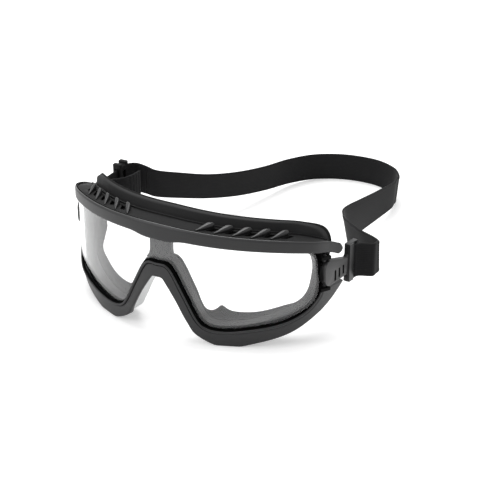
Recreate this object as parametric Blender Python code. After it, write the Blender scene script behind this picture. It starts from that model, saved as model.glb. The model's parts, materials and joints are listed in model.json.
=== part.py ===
"""Safety goggles: wrap lens, vented brow, soft face seal, hinged strap clips and an elastic strap.

Lengths are in metres, +Z is up, and the goggles stand on their lower rim with the lens facing -Y.
Left and right are as seen from the front. The front is drawn flat, as a distance along the lens
(s), a height (z) and a distance out of the lens's front face (n), and is then wrapped round the
lens, whose plan is one wide arc with a tighter arc at each temple. The origin is under the middle
of the goggles' box without the strap.
"""
import math

import bmesh
import bpy
import numpy as np

MM = 0.001
CLEAR = 0.3 * MM            # gap between pieces that touch
RUNNING = 0.06 * MM         # radial gap of a pin in its hole
OBJECT_NAME = "safety_goggles"

# Lens and the flat drawing of the front
LENS_RADIUS = 102.0 * MM
TEMPLE_RADIUS = 58.0 * MM   # tighter arc at each temple
TEMPLE_START = 66.0 * MM    # where it begins, along the lens
LENS_THICK = 2.2 * MM
LENS_INSET = 3.2 * MM       # lens's top edge below the brow bar's top edge
LENS_END_Z = (34.0 * MM, 50.0 * MM)
LENS_CORNER = 2.4 * MM      # upper temple corner, in from the temple edge
# Right half of the lens's lower edge as (s, z) and, point for point, of the bezel's outer edge as (s, z, n)
LENS_EDGE = np.array([(0, 42.4), (5.5, 42.2), (9.5, 38.0), (16, 25.8), (22, 14.4), (27, 10.0), (36, 9.0),
                      (50, 10.9), (65, 15.2), (77, 19.8), (83.6, 25.4)]) * MM
BEZEL_EDGE = np.array([(0, 34.3, 2.2), (2.7, 34.1, 2.2), (4.4, 32.2, 2.2), (10.2, 23.2, 2.2),
                       (16.4, 12.0, 2.2), (22.0, 4.6, 1.8), (36, -0.9, 1.0), (52.6, 2.0, 0.5),
                       (69.5, 6.6, -0.5), (84, 13.0, -2.5), (94.5, 18.5, -4.0)]) * MM
# For the same points: the bezel's thickness at its outer edge, and its bead's height and lap over the lens
BEZEL_SKIRT = np.array((1.9, 1.9, 1.9, 1.9, 2.4, 5.0, 7.5, 7.0, 6.0, 4.6, 4.0)) * MM
BEAD_RISE = np.array((2.3, 2.3, 2.3, 2.3, 2.3, 2.3, 2.3, 2.3, 2.0, 0.5, -0.2)) * MM
BEZEL_LAP = np.array((1.2, 1.2, 1.2, 1.2, 1.2, 1.2, 1.2, 1.2, -0.4, -0.4, -0.4)) * MM
BEZEL_BASE = np.array((0.3, 0.3, 0.3, 0.3, 0.3, 0.3, 0.3, 0.3, 0.3, -1.2, -1.6)) * MM
LENS_END = 85.4 * MM        # lens's temple edge, along the lens
STEPS = 4                   # stations for each stretch between drawn points

# Brow bar and lower bezel
BAR_HALF = 103.0 * MM
BAR_TOP = 64.9 * MM
BAR_FALL = 0.062            # even slope of the bar's top edge
BAR_CROWN = 10.0 * MM       # rounding of that slope over the nose
BAR_HOOK = 9.4 * MM         # further drop at the temple
BAR_HEIGHT = 7.5 * MM
BAR_END_HEIGHT = 6.2 * MM
BAR_THICK = 2.4 * MM
BAR_END_FRONT = 0.24 * MM   # what is left of that thickness, from RELIEF_END on
RELIEF_END = 92.0 * MM
BAR_TUCK = 3.5 * MM         # the bar's ends bend back behind the lens's sweep
BAR_HEEL = 1.6 * MM         # and thicken backwards
TUCK_START = 80.0 * MM
TUCK_LENGTH = 20.0 * MM
NOSE_DIP = 1.8 * MM         # the bar hangs lower over the nose
NOSE_DIP_HALF = 12.0 * MM
BEAD_WIDTH = 1.9 * MM
BEZEL_PAST = 4.0 * MM       # bezel's ends past the brow bar's
BEZEL_DROP = 0.5 * MM       # fall of the bezel's outer edge from its inner one, at the ends
BEZEL_END_BACK = 5.0 * MM   # that edge behind the lens's front face

# Shell, deck, louvres and seal, behind the lens
SHELL_DEPTH = 6.0 * MM
SHELL_LAP = 1.6 * MM        # shell's lap behind the lens's edge
SHELL_OUT = 2.6 * MM        # shell outside the lens's edge, under the eyes
SHELL_OUT_TOP = 0.4 * MM    # shell outside the lens's edge, brow and temples
POST_HALF = 6.2 * MM        # at its waist
POST_FLARE = 1.2 * MM       # wider at its foot and its head
POST_DEPTH = 4.0 * MM
DECK_BELOW = 1.0 * MM       # deck's top below the bar's top edge
DECK_THICK = 1.4 * MM
DECK_DEPTH = 10.0 * MM
DECK_END_DEPTH = 7.4 * MM
DECK_TURN = 76.0 * MM       # where its back edge starts to come forward
DECK_PAST = 9.0 * MM        # deck's ends past the lens's temple edges
DECK_BEAD = 0.8 * MM        # bead along the deck's back edge
FIN_COUNT = 5
FIN_FIRST = 21.0 * MM
FIN_PITCH = 9.6 * MM
FIN_THICK = 3.8 * MM
FIN_RISE = (0.6 * MM, 3.0 * MM)     # height in front and at the back
FIN_FRONT = 1.4 * MM
FIN_SPLAY = 7.2 * MM        # outward shift from front to back
FIN_GROWTH = 0.1            # share of that shift added from each fin to the next
FIN_RAIL = 1.1 * MM         # depth of the rail that joins the fins
VENT_WIDTH = 3.4 * MM
SEAL_DEPTH = 19.5 * MM      # from the lens's front face to the seal's back, temples and brow
SEAL_CHEEK_DEPTH = 15.0 * MM
SEAL_NOSE_DEPTH = 11.5 * MM
SEAL_LIP = 4.0 * MM         # lip turned in from the lens's edge, brow
SEAL_LIP_CHEEK = 2.8 * MM
SEAL_LIP_NOSE = 0.8 * MM
SEAL_FLARE = 3.4 * MM
CHANNEL = 0.45              # channel before the flange, as a share of the seal's depth
CHANNEL_CORNER = 0.12       # its share at the upper temple corner
FLANGE_RISE = 2.6 * MM      # front edge of the seal's flange above the brow bar's top edge
FLANGE_BACK = 0.7 * MM      # back edge of the flange above its front edge
FLANGE_CORNER = 9.5 * MM    # flange outside the lens's upper temple corner
FLANGE_SIDE = 7.5 * MM      # flange outside the lens's temple edge
PAD_INSET = 0.5 * MM        # pad inside the bezel's outer edge
PAD_THICK = 1.1 * MM
PAD_WEB = 2.4 * MM          # pad's web behind the bezel
PAD_DEPTH = 10.4 * MM       # from the lens's front face
PAD_SPREAD = 1.2 * MM       # the pad's legs spread that much towards the face

# Hinge and clip at each temple
PIN_DEPTH = 2.6 * MM        # pin's axis behind the lens's front face
PIN_R = 1.2 * MM
HUB_R = 2.9 * MM
HUB_Z = (30.0 * MM, 45.5 * MM)      # room between the lugs
BARREL_Z = (33.5 * MM, 42.1 * MM)   # the hub's barrel round the pin
LUG_THICK = 1.7 * MM
LUG_HALF = 2.5 * MM
WEB_THICK = 1.8 * MM
CLIP_SPLAY_RIGHT = 8.0      # degrees out from straight back, as they lie
CLIP_SPLAY_LEFT = 3.5
ARM_OFFSET = 1.7 * MM       # arm's middle plane outside the pin's axis
ARM_THICK = 2.6 * MM
ARM_LENGTH = 17.2 * MM      # pin to the buckle bar
ARM_ROOT_Z = (30.4 * MM, 44.9 * MM)
ARM_TIP_Z = (31.2 * MM, 40.6 * MM)
ARM_ROUND = 4.2 * MM        # rounding of the arm's front end
SLOT_COUNT = 3
SLOT_FIRST = 5.8 * MM
SLOT_PITCH = 3.6 * MM
SLOT_SIZE = (1.5 * MM, 6.0 * MM)
SLOT_Z = 34.5 * MM          # middle of the first slot, and the climb to the next one
SLOT_CLIMB = 0.35 * MM
SLOT_TAPER = 0.5 * MM       # each slot is shorter than the one before it
BUCKLE_BAR = 4.0 * MM       # length of the buckle's front bar along the arm
BUCKLE_PROUD = 0.9 * MM     # front bar outside the arm's face
BUCKLE_RAIL = 2.0 * MM      # rear bar, which the strap goes round
BUCKLE_EDGE = 0.9 * MM      # bridges over and under the strap

# Strap
STRAP_WIDTH = 19.0 * MM
STRAP_THICK = 1.4 * MM
STRAP_BASE_Z = 27.4 * MM    # strap's lower edge at the clips
LOOP_LEG = 4.2 * MM         # straight leg of the sewn loop behind the buckle
LOOP_FLARE = 5.4 * MM       # the right loop's outer leg stands out that much
LEFT_RUN = 23.4 * MM        # straight stretch behind the left loop
SLIDER_LENGTH = 9.0 * MM
SLIDER_WALL = 1.5 * MM
SLIDER_BAR = 2.8 * MM
SLIDER_RISE = 3.2 * MM      # its bars' ends over the strap
SLIDER_PLACE = 13.4 * MM    # from the left loop's end to the slider's front
# Lower edge of the strap from the right loop round the back, as chosen points (x, y, z), y from the
# lens's front, and how far the upper edge leans from it (x, y)
ROUTE_RIGHT = np.array([(89.2, 71.0, 26.8), (88.4, 76.2, 26.1), (84.4, 81.2, 25.6), (75.4, 88.6, 24.2),
                        (63.4, 98.6, 22.0), (56.4, 106.6, 19.9), (52.0, 117.0, 18.2), (46.0, 145.0, 11.6),
                        (41.4, 175.0, 5.6), (38.4, 201.0, 1.6)]) * MM
LEAN_RIGHT = np.array([(0.2, -0.8), (0.2, -2.2), (-1.6, -2.8), (-4.4, -2.2), (-6.8, 1.4), (-6.6, 4.8),
                       (-6.6, 5.0), (-2.8, 1.8), (0.0, 0.2), (2.0, -1.0)]) * MM
ROUTE_BACK = np.array([(34.8, 216.0, 0.4), (27.0, 226.5, 0.2), (12.0, 233.5, 0.1), (-8.0, 232.0, 0.1),
                       (-25.0, 222.5, 0.3), (-35.0, 205.0, 1.6), (-40.0, 182.0, 4.4), (-45.5, 158.0, 8.6),
                       (-53.0, 135.0, 14.0), (-60.5, 113.0, 21.0), (-66.5, 99.5, 25.6)]) * MM
LEAN_BACK = np.array([(2.4, -1.4), (2.0, -1.8), (1.4, -2.4), (1.0, -2.9), (1.2, -3.2), (1.6, -3.6),
                      (2.2, -4.2), (2.7, -4.4), (3.1, -4.5), (2.9, -3.6), (2.6, -3.0)]) * MM
JOIN_BACK = (0.0365, 0.2095, 0.0008)    # where the right run meets the back run
JOIN_BACK_LEAN = (0.0022, -0.0012)
JOIN_LEFT = (-0.0718, 0.0968, 0.0274)   # where the back run meets the left run
JOIN_LEFT_LEAN = (0.0020, -0.0022)
# The left run's corner and its sewn-back end, as points between the straight stretch and the joins
ROUTE_CORNER = np.array([(-81.3, 93.0, 27.4), (-79.0, 95.6, 27.5), (-75.8, 96.6, 27.6)]) * MM
LEAN_CORNER = np.array([(0.1, -0.2), (0.5, -0.6), (1.2, -1.4)]) * MM
ROUTE_END = np.array([(-74.2, 70.6, 27.4), (-71.0, 75.4, 27.4), (-69.7, 80.8, 27.5),
                      (-69.5, 86.4, 27.6)]) * MM

HINGE_SIDES = 28
COLOURS = {
    "lens": ((0.80, 0.83, 0.83), 0.05, 0.0),
    "frame_black": ((0.035, 0.035, 0.037), 0.42, 0.0),
    "seal_rubber": ((0.020, 0.020, 0.021), 0.60, 0.0),
    "nose_silicone": ((0.62, 0.63, 0.63), 0.45, 0.0),
    "pin_steel": ((0.35, 0.35, 0.36), 0.30, 1.0),
    "webbing": ((0.016, 0.016, 0.017), 0.85, 0.0),
}


def clear_scene():
    """Remove every object, so that only the goggles are in the file."""
    for thing in list(bpy.data.objects):
        bpy.data.objects.remove(thing, do_unlink=True)


def new_collection(name):
    """A collection in the scene, for the parts or for the cutters."""
    group = bpy.data.collections.new(name)
    bpy.context.scene.collection.children.link(group)
    return group


def new_material(name):
    """A Principled material from the table of colours."""
    colour, roughness, metallic = COLOURS[name]
    material = bpy.data.materials.new(name)
    material.use_nodes = True
    shader = material.node_tree.nodes["Principled BSDF"]
    shader.inputs["Base Color"].default_value = (*colour, 1.0)
    shader.inputs["Roughness"].default_value = roughness
    shader.inputs["Metallic"].default_value = metallic
    return material


clear_scene()
PARTS = new_collection(OBJECT_NAME)
CUTTERS = new_collection(OBJECT_NAME + "_cutters")
MATERIALS = {name: new_material(name) for name in COLOURS}


def add_object(name, mesh, material):
    """Put a finished mesh in the parts collection, shaded smooth between its sharp edges."""
    thing = bpy.data.objects.new(name, mesh)
    PARTS.objects.link(thing)
    mesh.materials.clear()
    mesh.materials.append(MATERIALS[material])
    mesh.shade_smooth()
    mesh.set_sharp_from_angle(angle=math.radians(35))
    return thing


def as_cutter(thing):
    """Hide a tool body from the build: it only cuts or joins another piece."""
    for group in list(thing.users_collection):
        group.objects.unlink(thing)
    CUTTERS.objects.link(thing)
    thing.hide_render = True
    thing.display_type = "WIRE"
    return thing


def combine(thing, tool, operation):
    """Join a tool body to a piece, or cut it away, with an exact Boolean."""
    modifier = thing.modifiers.new(operation.lower(), "BOOLEAN")
    modifier.operation = operation
    modifier.solver = "EXACT"
    modifier.object = as_cutter(tool)


def loft_mesh(name, rings, closed=False):
    """Skin a row of matching closed sections; closed joins the last one to the first."""
    rings = np.asarray(rings, dtype=float)
    count, sides = rings.shape[:2]
    shape = bmesh.new()
    grid = [[shape.verts.new(point) for point in ring] for ring in rings]
    for row in range(count if closed else count - 1):
        here = grid[row]
        there = grid[(row + 1) % count]
        for side in range(sides):
            after = (side + 1) % sides
            shape.faces.new((here[side], here[after], there[after], there[side]))
    if not closed:
        shape.faces.new(grid[0][::-1])
        shape.faces.new(grid[-1])
    bmesh.ops.recalc_face_normals(shape, faces=shape.faces)
    mesh = bpy.data.meshes.new(name)
    shape.to_mesh(mesh)
    shape.free()
    return mesh


def loft(name, rings, material, closed=False):
    """A lofted piece as an object."""
    return add_object(name, loft_mesh(name, rings, closed), material)


def cylinder(name, radius, low, high, material, centre=(0.0, 0.0)):
    """An upright cylinder from a primitive."""
    shape = bmesh.new()
    bmesh.ops.create_cone(shape, cap_ends=True, segments=HINGE_SIDES, radius1=radius, radius2=radius,
                          depth=high - low)
    bmesh.ops.translate(shape, verts=shape.verts, vec=(centre[0], centre[1], (low + high) / 2))
    mesh = bpy.data.meshes.new(name)
    shape.to_mesh(mesh)
    shape.free()
    return add_object(name, mesh, material)


def block(name, low, high, material):
    """A box between two corners, from a primitive."""
    shape = bmesh.new()
    bmesh.ops.create_cube(shape, size=1.0)
    size = np.subtract(high, low)
    bmesh.ops.scale(shape, verts=shape.verts, vec=size)
    bmesh.ops.translate(shape, verts=shape.verts, vec=np.add(low, high) / 2)
    mesh = bpy.data.meshes.new(name)
    shape.to_mesh(mesh)
    shape.free()
    return add_object(name, mesh, material)


def spline(points, steps, closed=False):
    """Points of a Catmull-Rom curve through the given ones, steps to a stretch."""
    points = np.asarray(points, dtype=float)
    if closed:
        padded = np.vstack([points[-1:], points, points[:2]])
    else:
        padded = np.vstack([2 * points[:1] - points[1:2], points, 2 * points[-1:] - points[-2:-1]])
    t = np.arange(steps)[:, None] / steps
    runs = []
    for a, b, c, d in zip(padded, padded[1:], padded[2:], padded[3:]):
        runs.append(0.5 * (2 * b + (c - a) * t + (2 * a - 5 * b + 4 * c - d) * t ** 2
                           + (3 * b - a - 3 * c + d) * t ** 3))
    if not closed:
        runs.append(points[-1:])
    return np.vstack(runs)


def mirrored(half):
    """A row of (s, z) points from the left end to the right one, from its right half."""
    half = np.asarray(half)
    return np.vstack([half[:0:-1] * (-1, 1), half])


def temple_share(s, start, length):
    """Smooth step from 0 to 1 along the lens, the same at both temples."""
    share = np.clip((np.abs(s) - start) / length, 0.0, 1.0)
    return share ** 2 * (3 - 2 * share)


def bar_top(s):
    """Height of the brow bar's top edge: an even fall that hooks down at the temples."""
    fall = BAR_FALL * (np.hypot(s, BAR_CROWN) - BAR_CROWN)
    return BAR_TOP - fall - BAR_HOOK * np.abs(s / BAR_HALF) ** 6


def bar_height(s):
    """Height of the brow bar, tapering to the temples and deeper over the nose."""
    share = np.abs(s) / BAR_HALF
    dip = NOSE_DIP * np.exp(-(s / NOSE_DIP_HALF) ** 4)
    return BAR_HEIGHT + (BAR_END_HEIGHT - BAR_HEIGHT) * share + dip


def bar_back(s):
    """Back of the brow bar: in front of the lens, and behind its sweep at the ends."""
    return BAR_BACK - (BAR_TUCK + BAR_HEEL) * temple_share(s, TUCK_START, TUCK_LENGTH)


def bar_front(s):
    """Front of the brow bar, which stands less proud towards the temples."""
    share = np.minimum(np.abs(s) / RELIEF_END, 1.0) ** 5
    tuck = BAR_TUCK * temple_share(s, TUCK_START, TUCK_LENGTH)
    return BAR_BACK + BAR_THICK + (BAR_END_FRONT - BAR_THICK) * share - tuck


def lens_top(s):
    """Height of the lens's top edge, behind the brow bar."""
    return bar_top(s) - LENS_INSET


def on_front(s, n):
    """Plan position (x, y) of a point on the front, y from the lens's front face: two tangent arcs."""
    reach = np.abs(s)
    angle = np.minimum(reach, TEMPLE_START) / LENS_RADIUS
    turned = angle + np.maximum(reach - TEMPLE_START, 0.0) / TEMPLE_RADIUS
    radius = TEMPLE_RADIUS + np.asarray(n)
    shift = LENS_RADIUS - TEMPLE_RADIUS
    x = np.sign(s) * (shift * np.sin(angle) + radius * np.sin(turned))
    return x, LENS_RADIUS - shift * np.cos(angle) - radius * np.cos(turned)


# Depths behind the lens's front face where one piece's back meets the next one's front
SHELL_FRONT = LENS_THICK + CLEAR
SHELL_BACK = SHELL_FRONT + SHELL_DEPTH
SEAL_FRONT = SHELL_BACK + CLEAR
BAR_BACK = CLEAR                        # brow bar in front of the lens
LOOP_OUT = ARM_THICK / 2 + CLEAR + STRAP_THICK / 2
BUCKLE_SLOT = STRAP_THICK + 2.6 * CLEAR
BUCKLE_LENGTH = BUCKLE_BAR + BUCKLE_SLOT + BUCKLE_RAIL
BUCKLE_Z = (STRAP_BASE_Z - CLEAR - BUCKLE_EDGE, STRAP_BASE_Z + STRAP_WIDTH + CLEAR + BUCKLE_EDGE)
SLOT_START = ARM_LENGTH + BUCKLE_BAR    # along the arm from the pin
LOOP_CENTRE = SLOT_START + BUCKLE_SLOT / 2 + STRAP_THICK / 2 + CLEAR
LOOP_END = LOOP_CENTRE + LOOP_LEG
PIN_S = LENS_END + SHELL_OUT_TOP + 4 * CLEAR + HUB_R
PIN_X, PIN_Y = on_front(PIN_S, -PIN_DEPTH)
CLIP_SPLAY = {1: math.radians(CLIP_SPLAY_RIGHT), -1: math.radians(CLIP_SPLAY_LEFT)}


def clip_axes(side):
    """Unit vectors of a clip in plan: along its arm, and out from the head."""
    splay = CLIP_SPLAY[side]
    along = np.array((side * math.sin(splay), math.cos(splay)))
    out = np.array((side * math.cos(splay), -math.sin(splay)))
    return along, out


def clip_reach(side):
    """Furthest y of a clip, from the lens's front face."""
    along, out = clip_axes(side)
    corners = [(ARM_LENGTH + BUCKLE_LENGTH, ARM_OFFSET - ARM_THICK / 2),
               (ARM_LENGTH + BUCKLE_LENGTH, ARM_OFFSET + ARM_THICK / 2)]
    return PIN_Y + max(along[1] * a + out[1] * o for a, o in corners)


FRONT_Y = -max(BAR_BACK + BAR_THICK, *BEAD_RISE)
MIDDLE_Y = (FRONT_Y + max(clip_reach(1), clip_reach(-1))) / 2


def wrap(s, z, n):
    """World points of the flat drawing, wrapped round the lens."""
    s, z, n = np.broadcast_arrays(s, z, n)
    x, y = on_front(s, n)
    return np.stack([x, y - MIDDLE_Y, z], axis=-1)


def section(s, z, n):
    """Rings of a wrapped loft: s, z and n hold one row for each corner of the section."""
    return wrap(np.array(s).T, np.array(z).T, np.array(n).T)


# Lens outline: lower chain from temple to temple, temple edge, upper chain back
LOWER = mirrored(np.vstack([LENS_EDGE, [(LENS_END, LENS_END_Z[0])]]))
UPPER_S = np.linspace(0.0, 1.0, 7)[:-1] * LENS_END
UPPER_CORNER = (LENS_END - LENS_CORNER, LENS_END_Z[1])
UPPER = mirrored(np.vstack([np.column_stack([UPPER_S, lens_top(UPPER_S)]), UPPER_CORNER]))
TEMPLE = np.array([(LENS_END + CLEAR, sum(LENS_END_Z) / 2)])
OUTLINE = np.vstack([LOWER, TEMPLE, UPPER[::-1], TEMPLE * (-1, 1)])


def outline_values(nose, cheek, temple, side, corner, brow):
    """A value for each drawn point of the outline, by the region it lies in."""
    half = [nose] * 5 + [cheek] * (len(LENS_EDGE) - 6) + [temple] * 2
    lower = half[:0:-1] + half
    upper_half = [brow] * len(UPPER_S) + [corner]
    upper = upper_half[:0:-1] + upper_half
    return np.array(lower + [side] + upper + [side])[:, None]


def ring_stations():
    """Smooth closed outline with its outward directions in the flat drawing."""
    points = spline(OUTLINE, STEPS, closed=True)
    run = np.roll(points, -1, axis=0) - np.roll(points, 1, axis=0)
    run /= np.linalg.norm(run, axis=1, keepdims=True)
    return points, np.column_stack([run[:, 1], -run[:, 0]])


RING_POINTS, RING_OUT = ring_stations()


def ring_loft(name, corners, material, straight=np.inf):
    """Closed loft round the lens; corners are (offset out of its edge, depth behind the lens) by station.

    Beyond the straight depth, depth runs straight back instead of square to the lens.
    """
    rings = []
    for offset, depth in corners:
        place = RING_POINTS + RING_OUT * offset
        depth = np.ravel(depth)
        ring = wrap(place[:, 0], place[:, 1], -np.minimum(depth, straight))
        ring[:, 1] += np.maximum(depth - straight, 0.0)
        rings.append(ring)
    return loft(name, np.stack(rings, axis=1), material, closed=True)


def region(*values):
    """A value that changes smoothly round the outline, from those of its six regions."""
    return spline(outline_values(*values), STEPS, closed=True)


def make_lens():
    """Clear sheet between the lower and the upper chain, of even thickness."""
    lower = spline(LOWER, STEPS)
    share = np.linspace(0.0, 1.0, len(lower))
    upper_all = spline(UPPER, STEPS)
    upper_share = np.linspace(0.0, 1.0, len(upper_all))
    upper = np.column_stack([np.interp(share, upper_share, upper_all[:, axis]) for axis in (0, 1)])
    rows = np.linspace(0.0, 1.0, 4)
    front = [lower + (upper - lower) * row for row in rows]
    corners = [(place, 0.0) for place in front] + [(place, -LENS_THICK) for place in front[::-1]]
    rings = [wrap(place[:, 0], place[:, 1], n) for place, n in corners]
    return loft("lens", np.stack(rings, axis=1), "lens")


def make_brow_bar():
    """Front bar with a bevelled top edge and half-round ends."""
    end_radius = BAR_END_HEIGHT / 2
    inner = np.linspace(-1.0, 1.0, 45) * (BAR_HALF - end_radius)
    turn = np.radians((25, 50, 68, 80))
    tip = BAR_HALF - end_radius + end_radius * np.sin(turn)
    s = np.concatenate([-tip[::-1], inner, tip])
    squeeze = np.concatenate([np.cos(turn)[::-1], np.ones(len(inner)), np.cos(turn)])
    half = bar_height(s) / 2
    middle = bar_top(s) - half
    back, front = bar_back(s), bar_front(s)
    profile = [(0.0, -1.0), (0.8, -1.0), (1.0, -0.8), (1.0, 0.66), (0.5, 1.0), (0.0, 1.0)]
    z = [middle + half * squeeze * v for n, v in profile]
    n = [back + (front - back) * n for n, v in profile]
    return loft("brow_bar", section([s] * len(profile), z, n), "frame_black")


def along_bezel(values, end):
    """A value along the bezel from temple to temple, drawn smoothly through those of its points."""
    half = np.append(values, end)
    return spline(np.concatenate([half[:0:-1], half])[:, None], STEPS)[:, 0]


def bezel_lines():
    """The lens's edge, the bezel's outer edge, the way across and the outer edge's front and back."""
    end_edge = (LENS_END - CLEAR, HUB_Z[0] - LUG_THICK - 2 * CLEAR)
    end_rim = (BAR_HALF + BEZEL_PAST, end_edge[1] - BEZEL_DROP)
    edge = spline(mirrored(np.vstack([LENS_EDGE, [end_edge]])), STEPS)
    rim = spline(mirrored(np.vstack([BEZEL_EDGE[:, :2], [end_rim]])), STEPS)
    across = rim - edge
    across /= np.linalg.norm(across, axis=1, keepdims=True)
    front = along_bezel(BEZEL_EDGE[:, 2], -BEZEL_END_BACK)
    back = front - along_bezel(BEZEL_SKIRT, BEZEL_SKIRT[-1])
    return edge, rim, across, front, back


def make_lower_bezel():
    """Rim under the eyes and over the nose: bead beside the lens, sloping face and a skirt behind it."""
    edge, rim, across, front, back = bezel_lines()
    rise = along_bezel(BEAD_RISE, BEAD_RISE[-1])
    lap = along_bezel(BEZEL_LAP, BEZEL_LAP[-1])
    base = along_bezel(BEZEL_BASE, BEZEL_BASE[-1])
    inside = SHELL_OUT + 3 * CLEAR
    profile = [(-lap, base), (-lap, base + (rise - base) * 0.7), ((BEAD_WIDTH - lap) / 3, rise),
               (BEAD_WIDTH, base + (rise - base) * 0.8), (BEAD_WIDTH * 1.25, base + (rise - base) * 0.4),
               (None, front), (None, back), (inside, back), (inside, -LENS_THICK), (CLEAR, -LENS_THICK),
               (CLEAR, base)]
    rings = []
    for offset, n in profile:
        place = rim if offset is None else edge + across * np.broadcast_to(offset, len(edge))[:, None]
        rings.append(wrap(place[:, 0], np.maximum(place[:, 1], 0.0), n))
    return loft("lower_bezel", np.stack(rings, axis=1), "frame_black")


def make_frame_shell():
    """Ring behind the lens's edge."""
    out = region(SHELL_OUT, SHELL_OUT, *[SHELL_OUT_TOP] * 4)
    corners = [(-SHELL_LAP, SHELL_FRONT), (out, SHELL_FRONT), (out, SHELL_BACK), (-SHELL_LAP, SHELL_BACK)]
    return ring_loft("frame_shell", corners, "frame_black")


def make_bridge_post():
    """Waisted upright behind the lens, between the shell's arch and its brow."""
    share = np.linspace(0.0, 1.0, 7)
    half = POST_HALF + POST_FLARE * np.abs(2 * share - 1) ** 3
    foot = LENS_EDGE[0][1] + SHELL_LAP + CLEAR
    top = lens_top(POST_HALF) - SHELL_LAP - 2 * CLEAR
    z = foot + (top - foot) * share
    front = np.full(len(z), -SHELL_FRONT)
    back = front - POST_DEPTH
    rings = section([-half, half, half, -half], [z] * 4, [front, front, back, back])
    return loft("bridge_post", rings, "frame_black")


def fin_frame(side, index):
    """Plan line of one louvre: s and n from its front to its back, and the deck's height under it."""
    t = np.array((0.0, 0.3, 0.6, 0.85, 1.0))
    start = FIN_FIRST + FIN_PITCH * index
    s = side * (start + FIN_SPLAY * (1 + FIN_GROWTH * index) * t)
    n = -FIN_FRONT - (DECK_DEPTH - FIN_FRONT - DECK_BEAD - 2 * CLEAR) * t
    return t, s, n


def make_vent_cut(side, index):
    """Tool for the slanted slot in the deck beside one louvre."""
    t, line, depth = (values[1:4] for values in fin_frame(side, index))
    line = line + side * (FIN_THICK + VENT_WIDTH + 4 * CLEAR) / 2
    half = VENT_WIDTH / 2
    base = bar_top(line) - DECK_BELOW
    low = base - 2 * DECK_THICK
    high = base + DECK_THICK
    rings = section([line - half, line + half, line + half, line - half], [low, low, high, high], [depth] * 4)
    return loft(f"vent_cut_{side}_{index}", rings, "frame_black")


def make_vent_deck():
    """Shelf behind the brow bar, with a bead on its back edge and a slot behind each louvre."""
    end = LENS_END + DECK_PAST
    s = np.linspace(-1.0, 1.0, 47) * end
    top = bar_top(s) - DECK_BELOW
    low = top - DECK_THICK
    front = bar_back(s) - CLEAR
    back = -DECK_DEPTH + (DECK_DEPTH - DECK_END_DEPTH) * temple_share(s, DECK_TURN, end - DECK_TURN)
    bead = back + DECK_BEAD
    profile = [(low, front), (top, front), (top, bead), (top + DECK_BEAD, bead - DECK_BEAD * 0.2),
               (top + DECK_BEAD, back), (low, back)]
    rings = section([s] * 6, [z for z, n in profile], [n for z, n in profile])
    deck = loft("vent_deck", rings, "frame_black")
    for side in (1, -1):
        for index in range(FIN_COUNT):
            combine(deck, make_vent_cut(side, index), "DIFFERENCE")
    return deck


def make_fin(side, index, name):
    """One slanted fin, from a low front to a rounded nose at the back."""
    t, line, depth = fin_frame(side, index)
    half = FIN_THICK / 2 * np.array((0.25, 0.55, 0.9, 1.0, 0.55))
    rise = FIN_RISE[0] + (FIN_RISE[1] - FIN_RISE[0]) * np.array((0.0, 0.35, 0.75, 1.0, 0.75))
    base = bar_top(line) - DECK_BELOW + CLEAR
    width = [-1.0, 1.0, 1.0, 0.55, -0.55, -1.0]
    height = [0.0, 0.0, 0.7, 1.0, 1.0, 0.7]
    rings = section([line + half * w for w in width], [base + rise * h for h in height], [depth] * 6)
    return loft(name, rings, "frame_black")


def make_louvres(side, name):
    """Comb of slanted fins on a low rail, which lies on the deck in front of its bead."""
    outer = FIN_COUNT - 1
    last = FIN_FIRST + FIN_PITCH * outer + FIN_SPLAY * (1 + FIN_GROWTH * outer)
    s = side * np.linspace(FIN_FIRST + FIN_SPLAY * 0.7, last, 4 * FIN_COUNT)
    base = bar_top(s) - DECK_BELOW + CLEAR * 1.1
    back = -DECK_DEPTH + DECK_BEAD + 3 * CLEAR
    front = back + FIN_RAIL
    flat = np.ones(len(s))
    rail = section([s] * 4, [base, base, base + FIN_RISE[0], base + FIN_RISE[0]],
                   [flat * back, flat * front, flat * front, flat * back])
    comb = loft(name, rail, "frame_black")
    for index in range(FIN_COUNT):
        combine(comb, make_fin(side, index, f"{name}_fin_{index}"), "UNION")
    return comb


def make_face_seal():
    """Soft ring behind the shell: raised flange behind the deck, flared skirt and a lip turned in."""
    out = region(SHELL_OUT, SHELL_OUT, *[SHELL_OUT_TOP] * 3, 0.0)
    flange = LENS_INSET + FLANGE_RISE
    flare = region(SHELL_OUT, SEAL_FLARE, SEAL_FLARE, FLANGE_SIDE, FLANGE_CORNER, flange)
    behind = region(SHELL_OUT, SEAL_FLARE, SEAL_FLARE, FLANGE_SIDE, FLANGE_CORNER, flange + FLANGE_BACK)
    depth = region(SEAL_NOSE_DEPTH, SEAL_CHEEK_DEPTH, *[SEAL_DEPTH] * 4)
    channel = region(CHANNEL, CHANNEL, CHANNEL, CHANNEL / 2, CHANNEL_CORNER, CHANNEL)
    lip = region(SEAL_LIP_NOSE, SEAL_LIP_CHEEK, SEAL_LIP_CHEEK, SEAL_LIP_CHEEK, SEAL_LIP, SEAL_LIP)
    length = depth - SEAL_FRONT
    front = SEAL_FRONT * np.ones_like(depth)
    floor = front + channel * length
    corners = [(-SHELL_LAP, front), (out, front), (out, floor), (flare, floor + 0.13 * length),
               (behind, depth - 0.12 * length), (-lip, depth), (-lip, depth - 0.14 * length),
               (-SHELL_LAP, front + 0.5 * length)]
    return ring_loft("face_seal", corners, "seal_rubber", straight=SEAL_FRONT)


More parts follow.
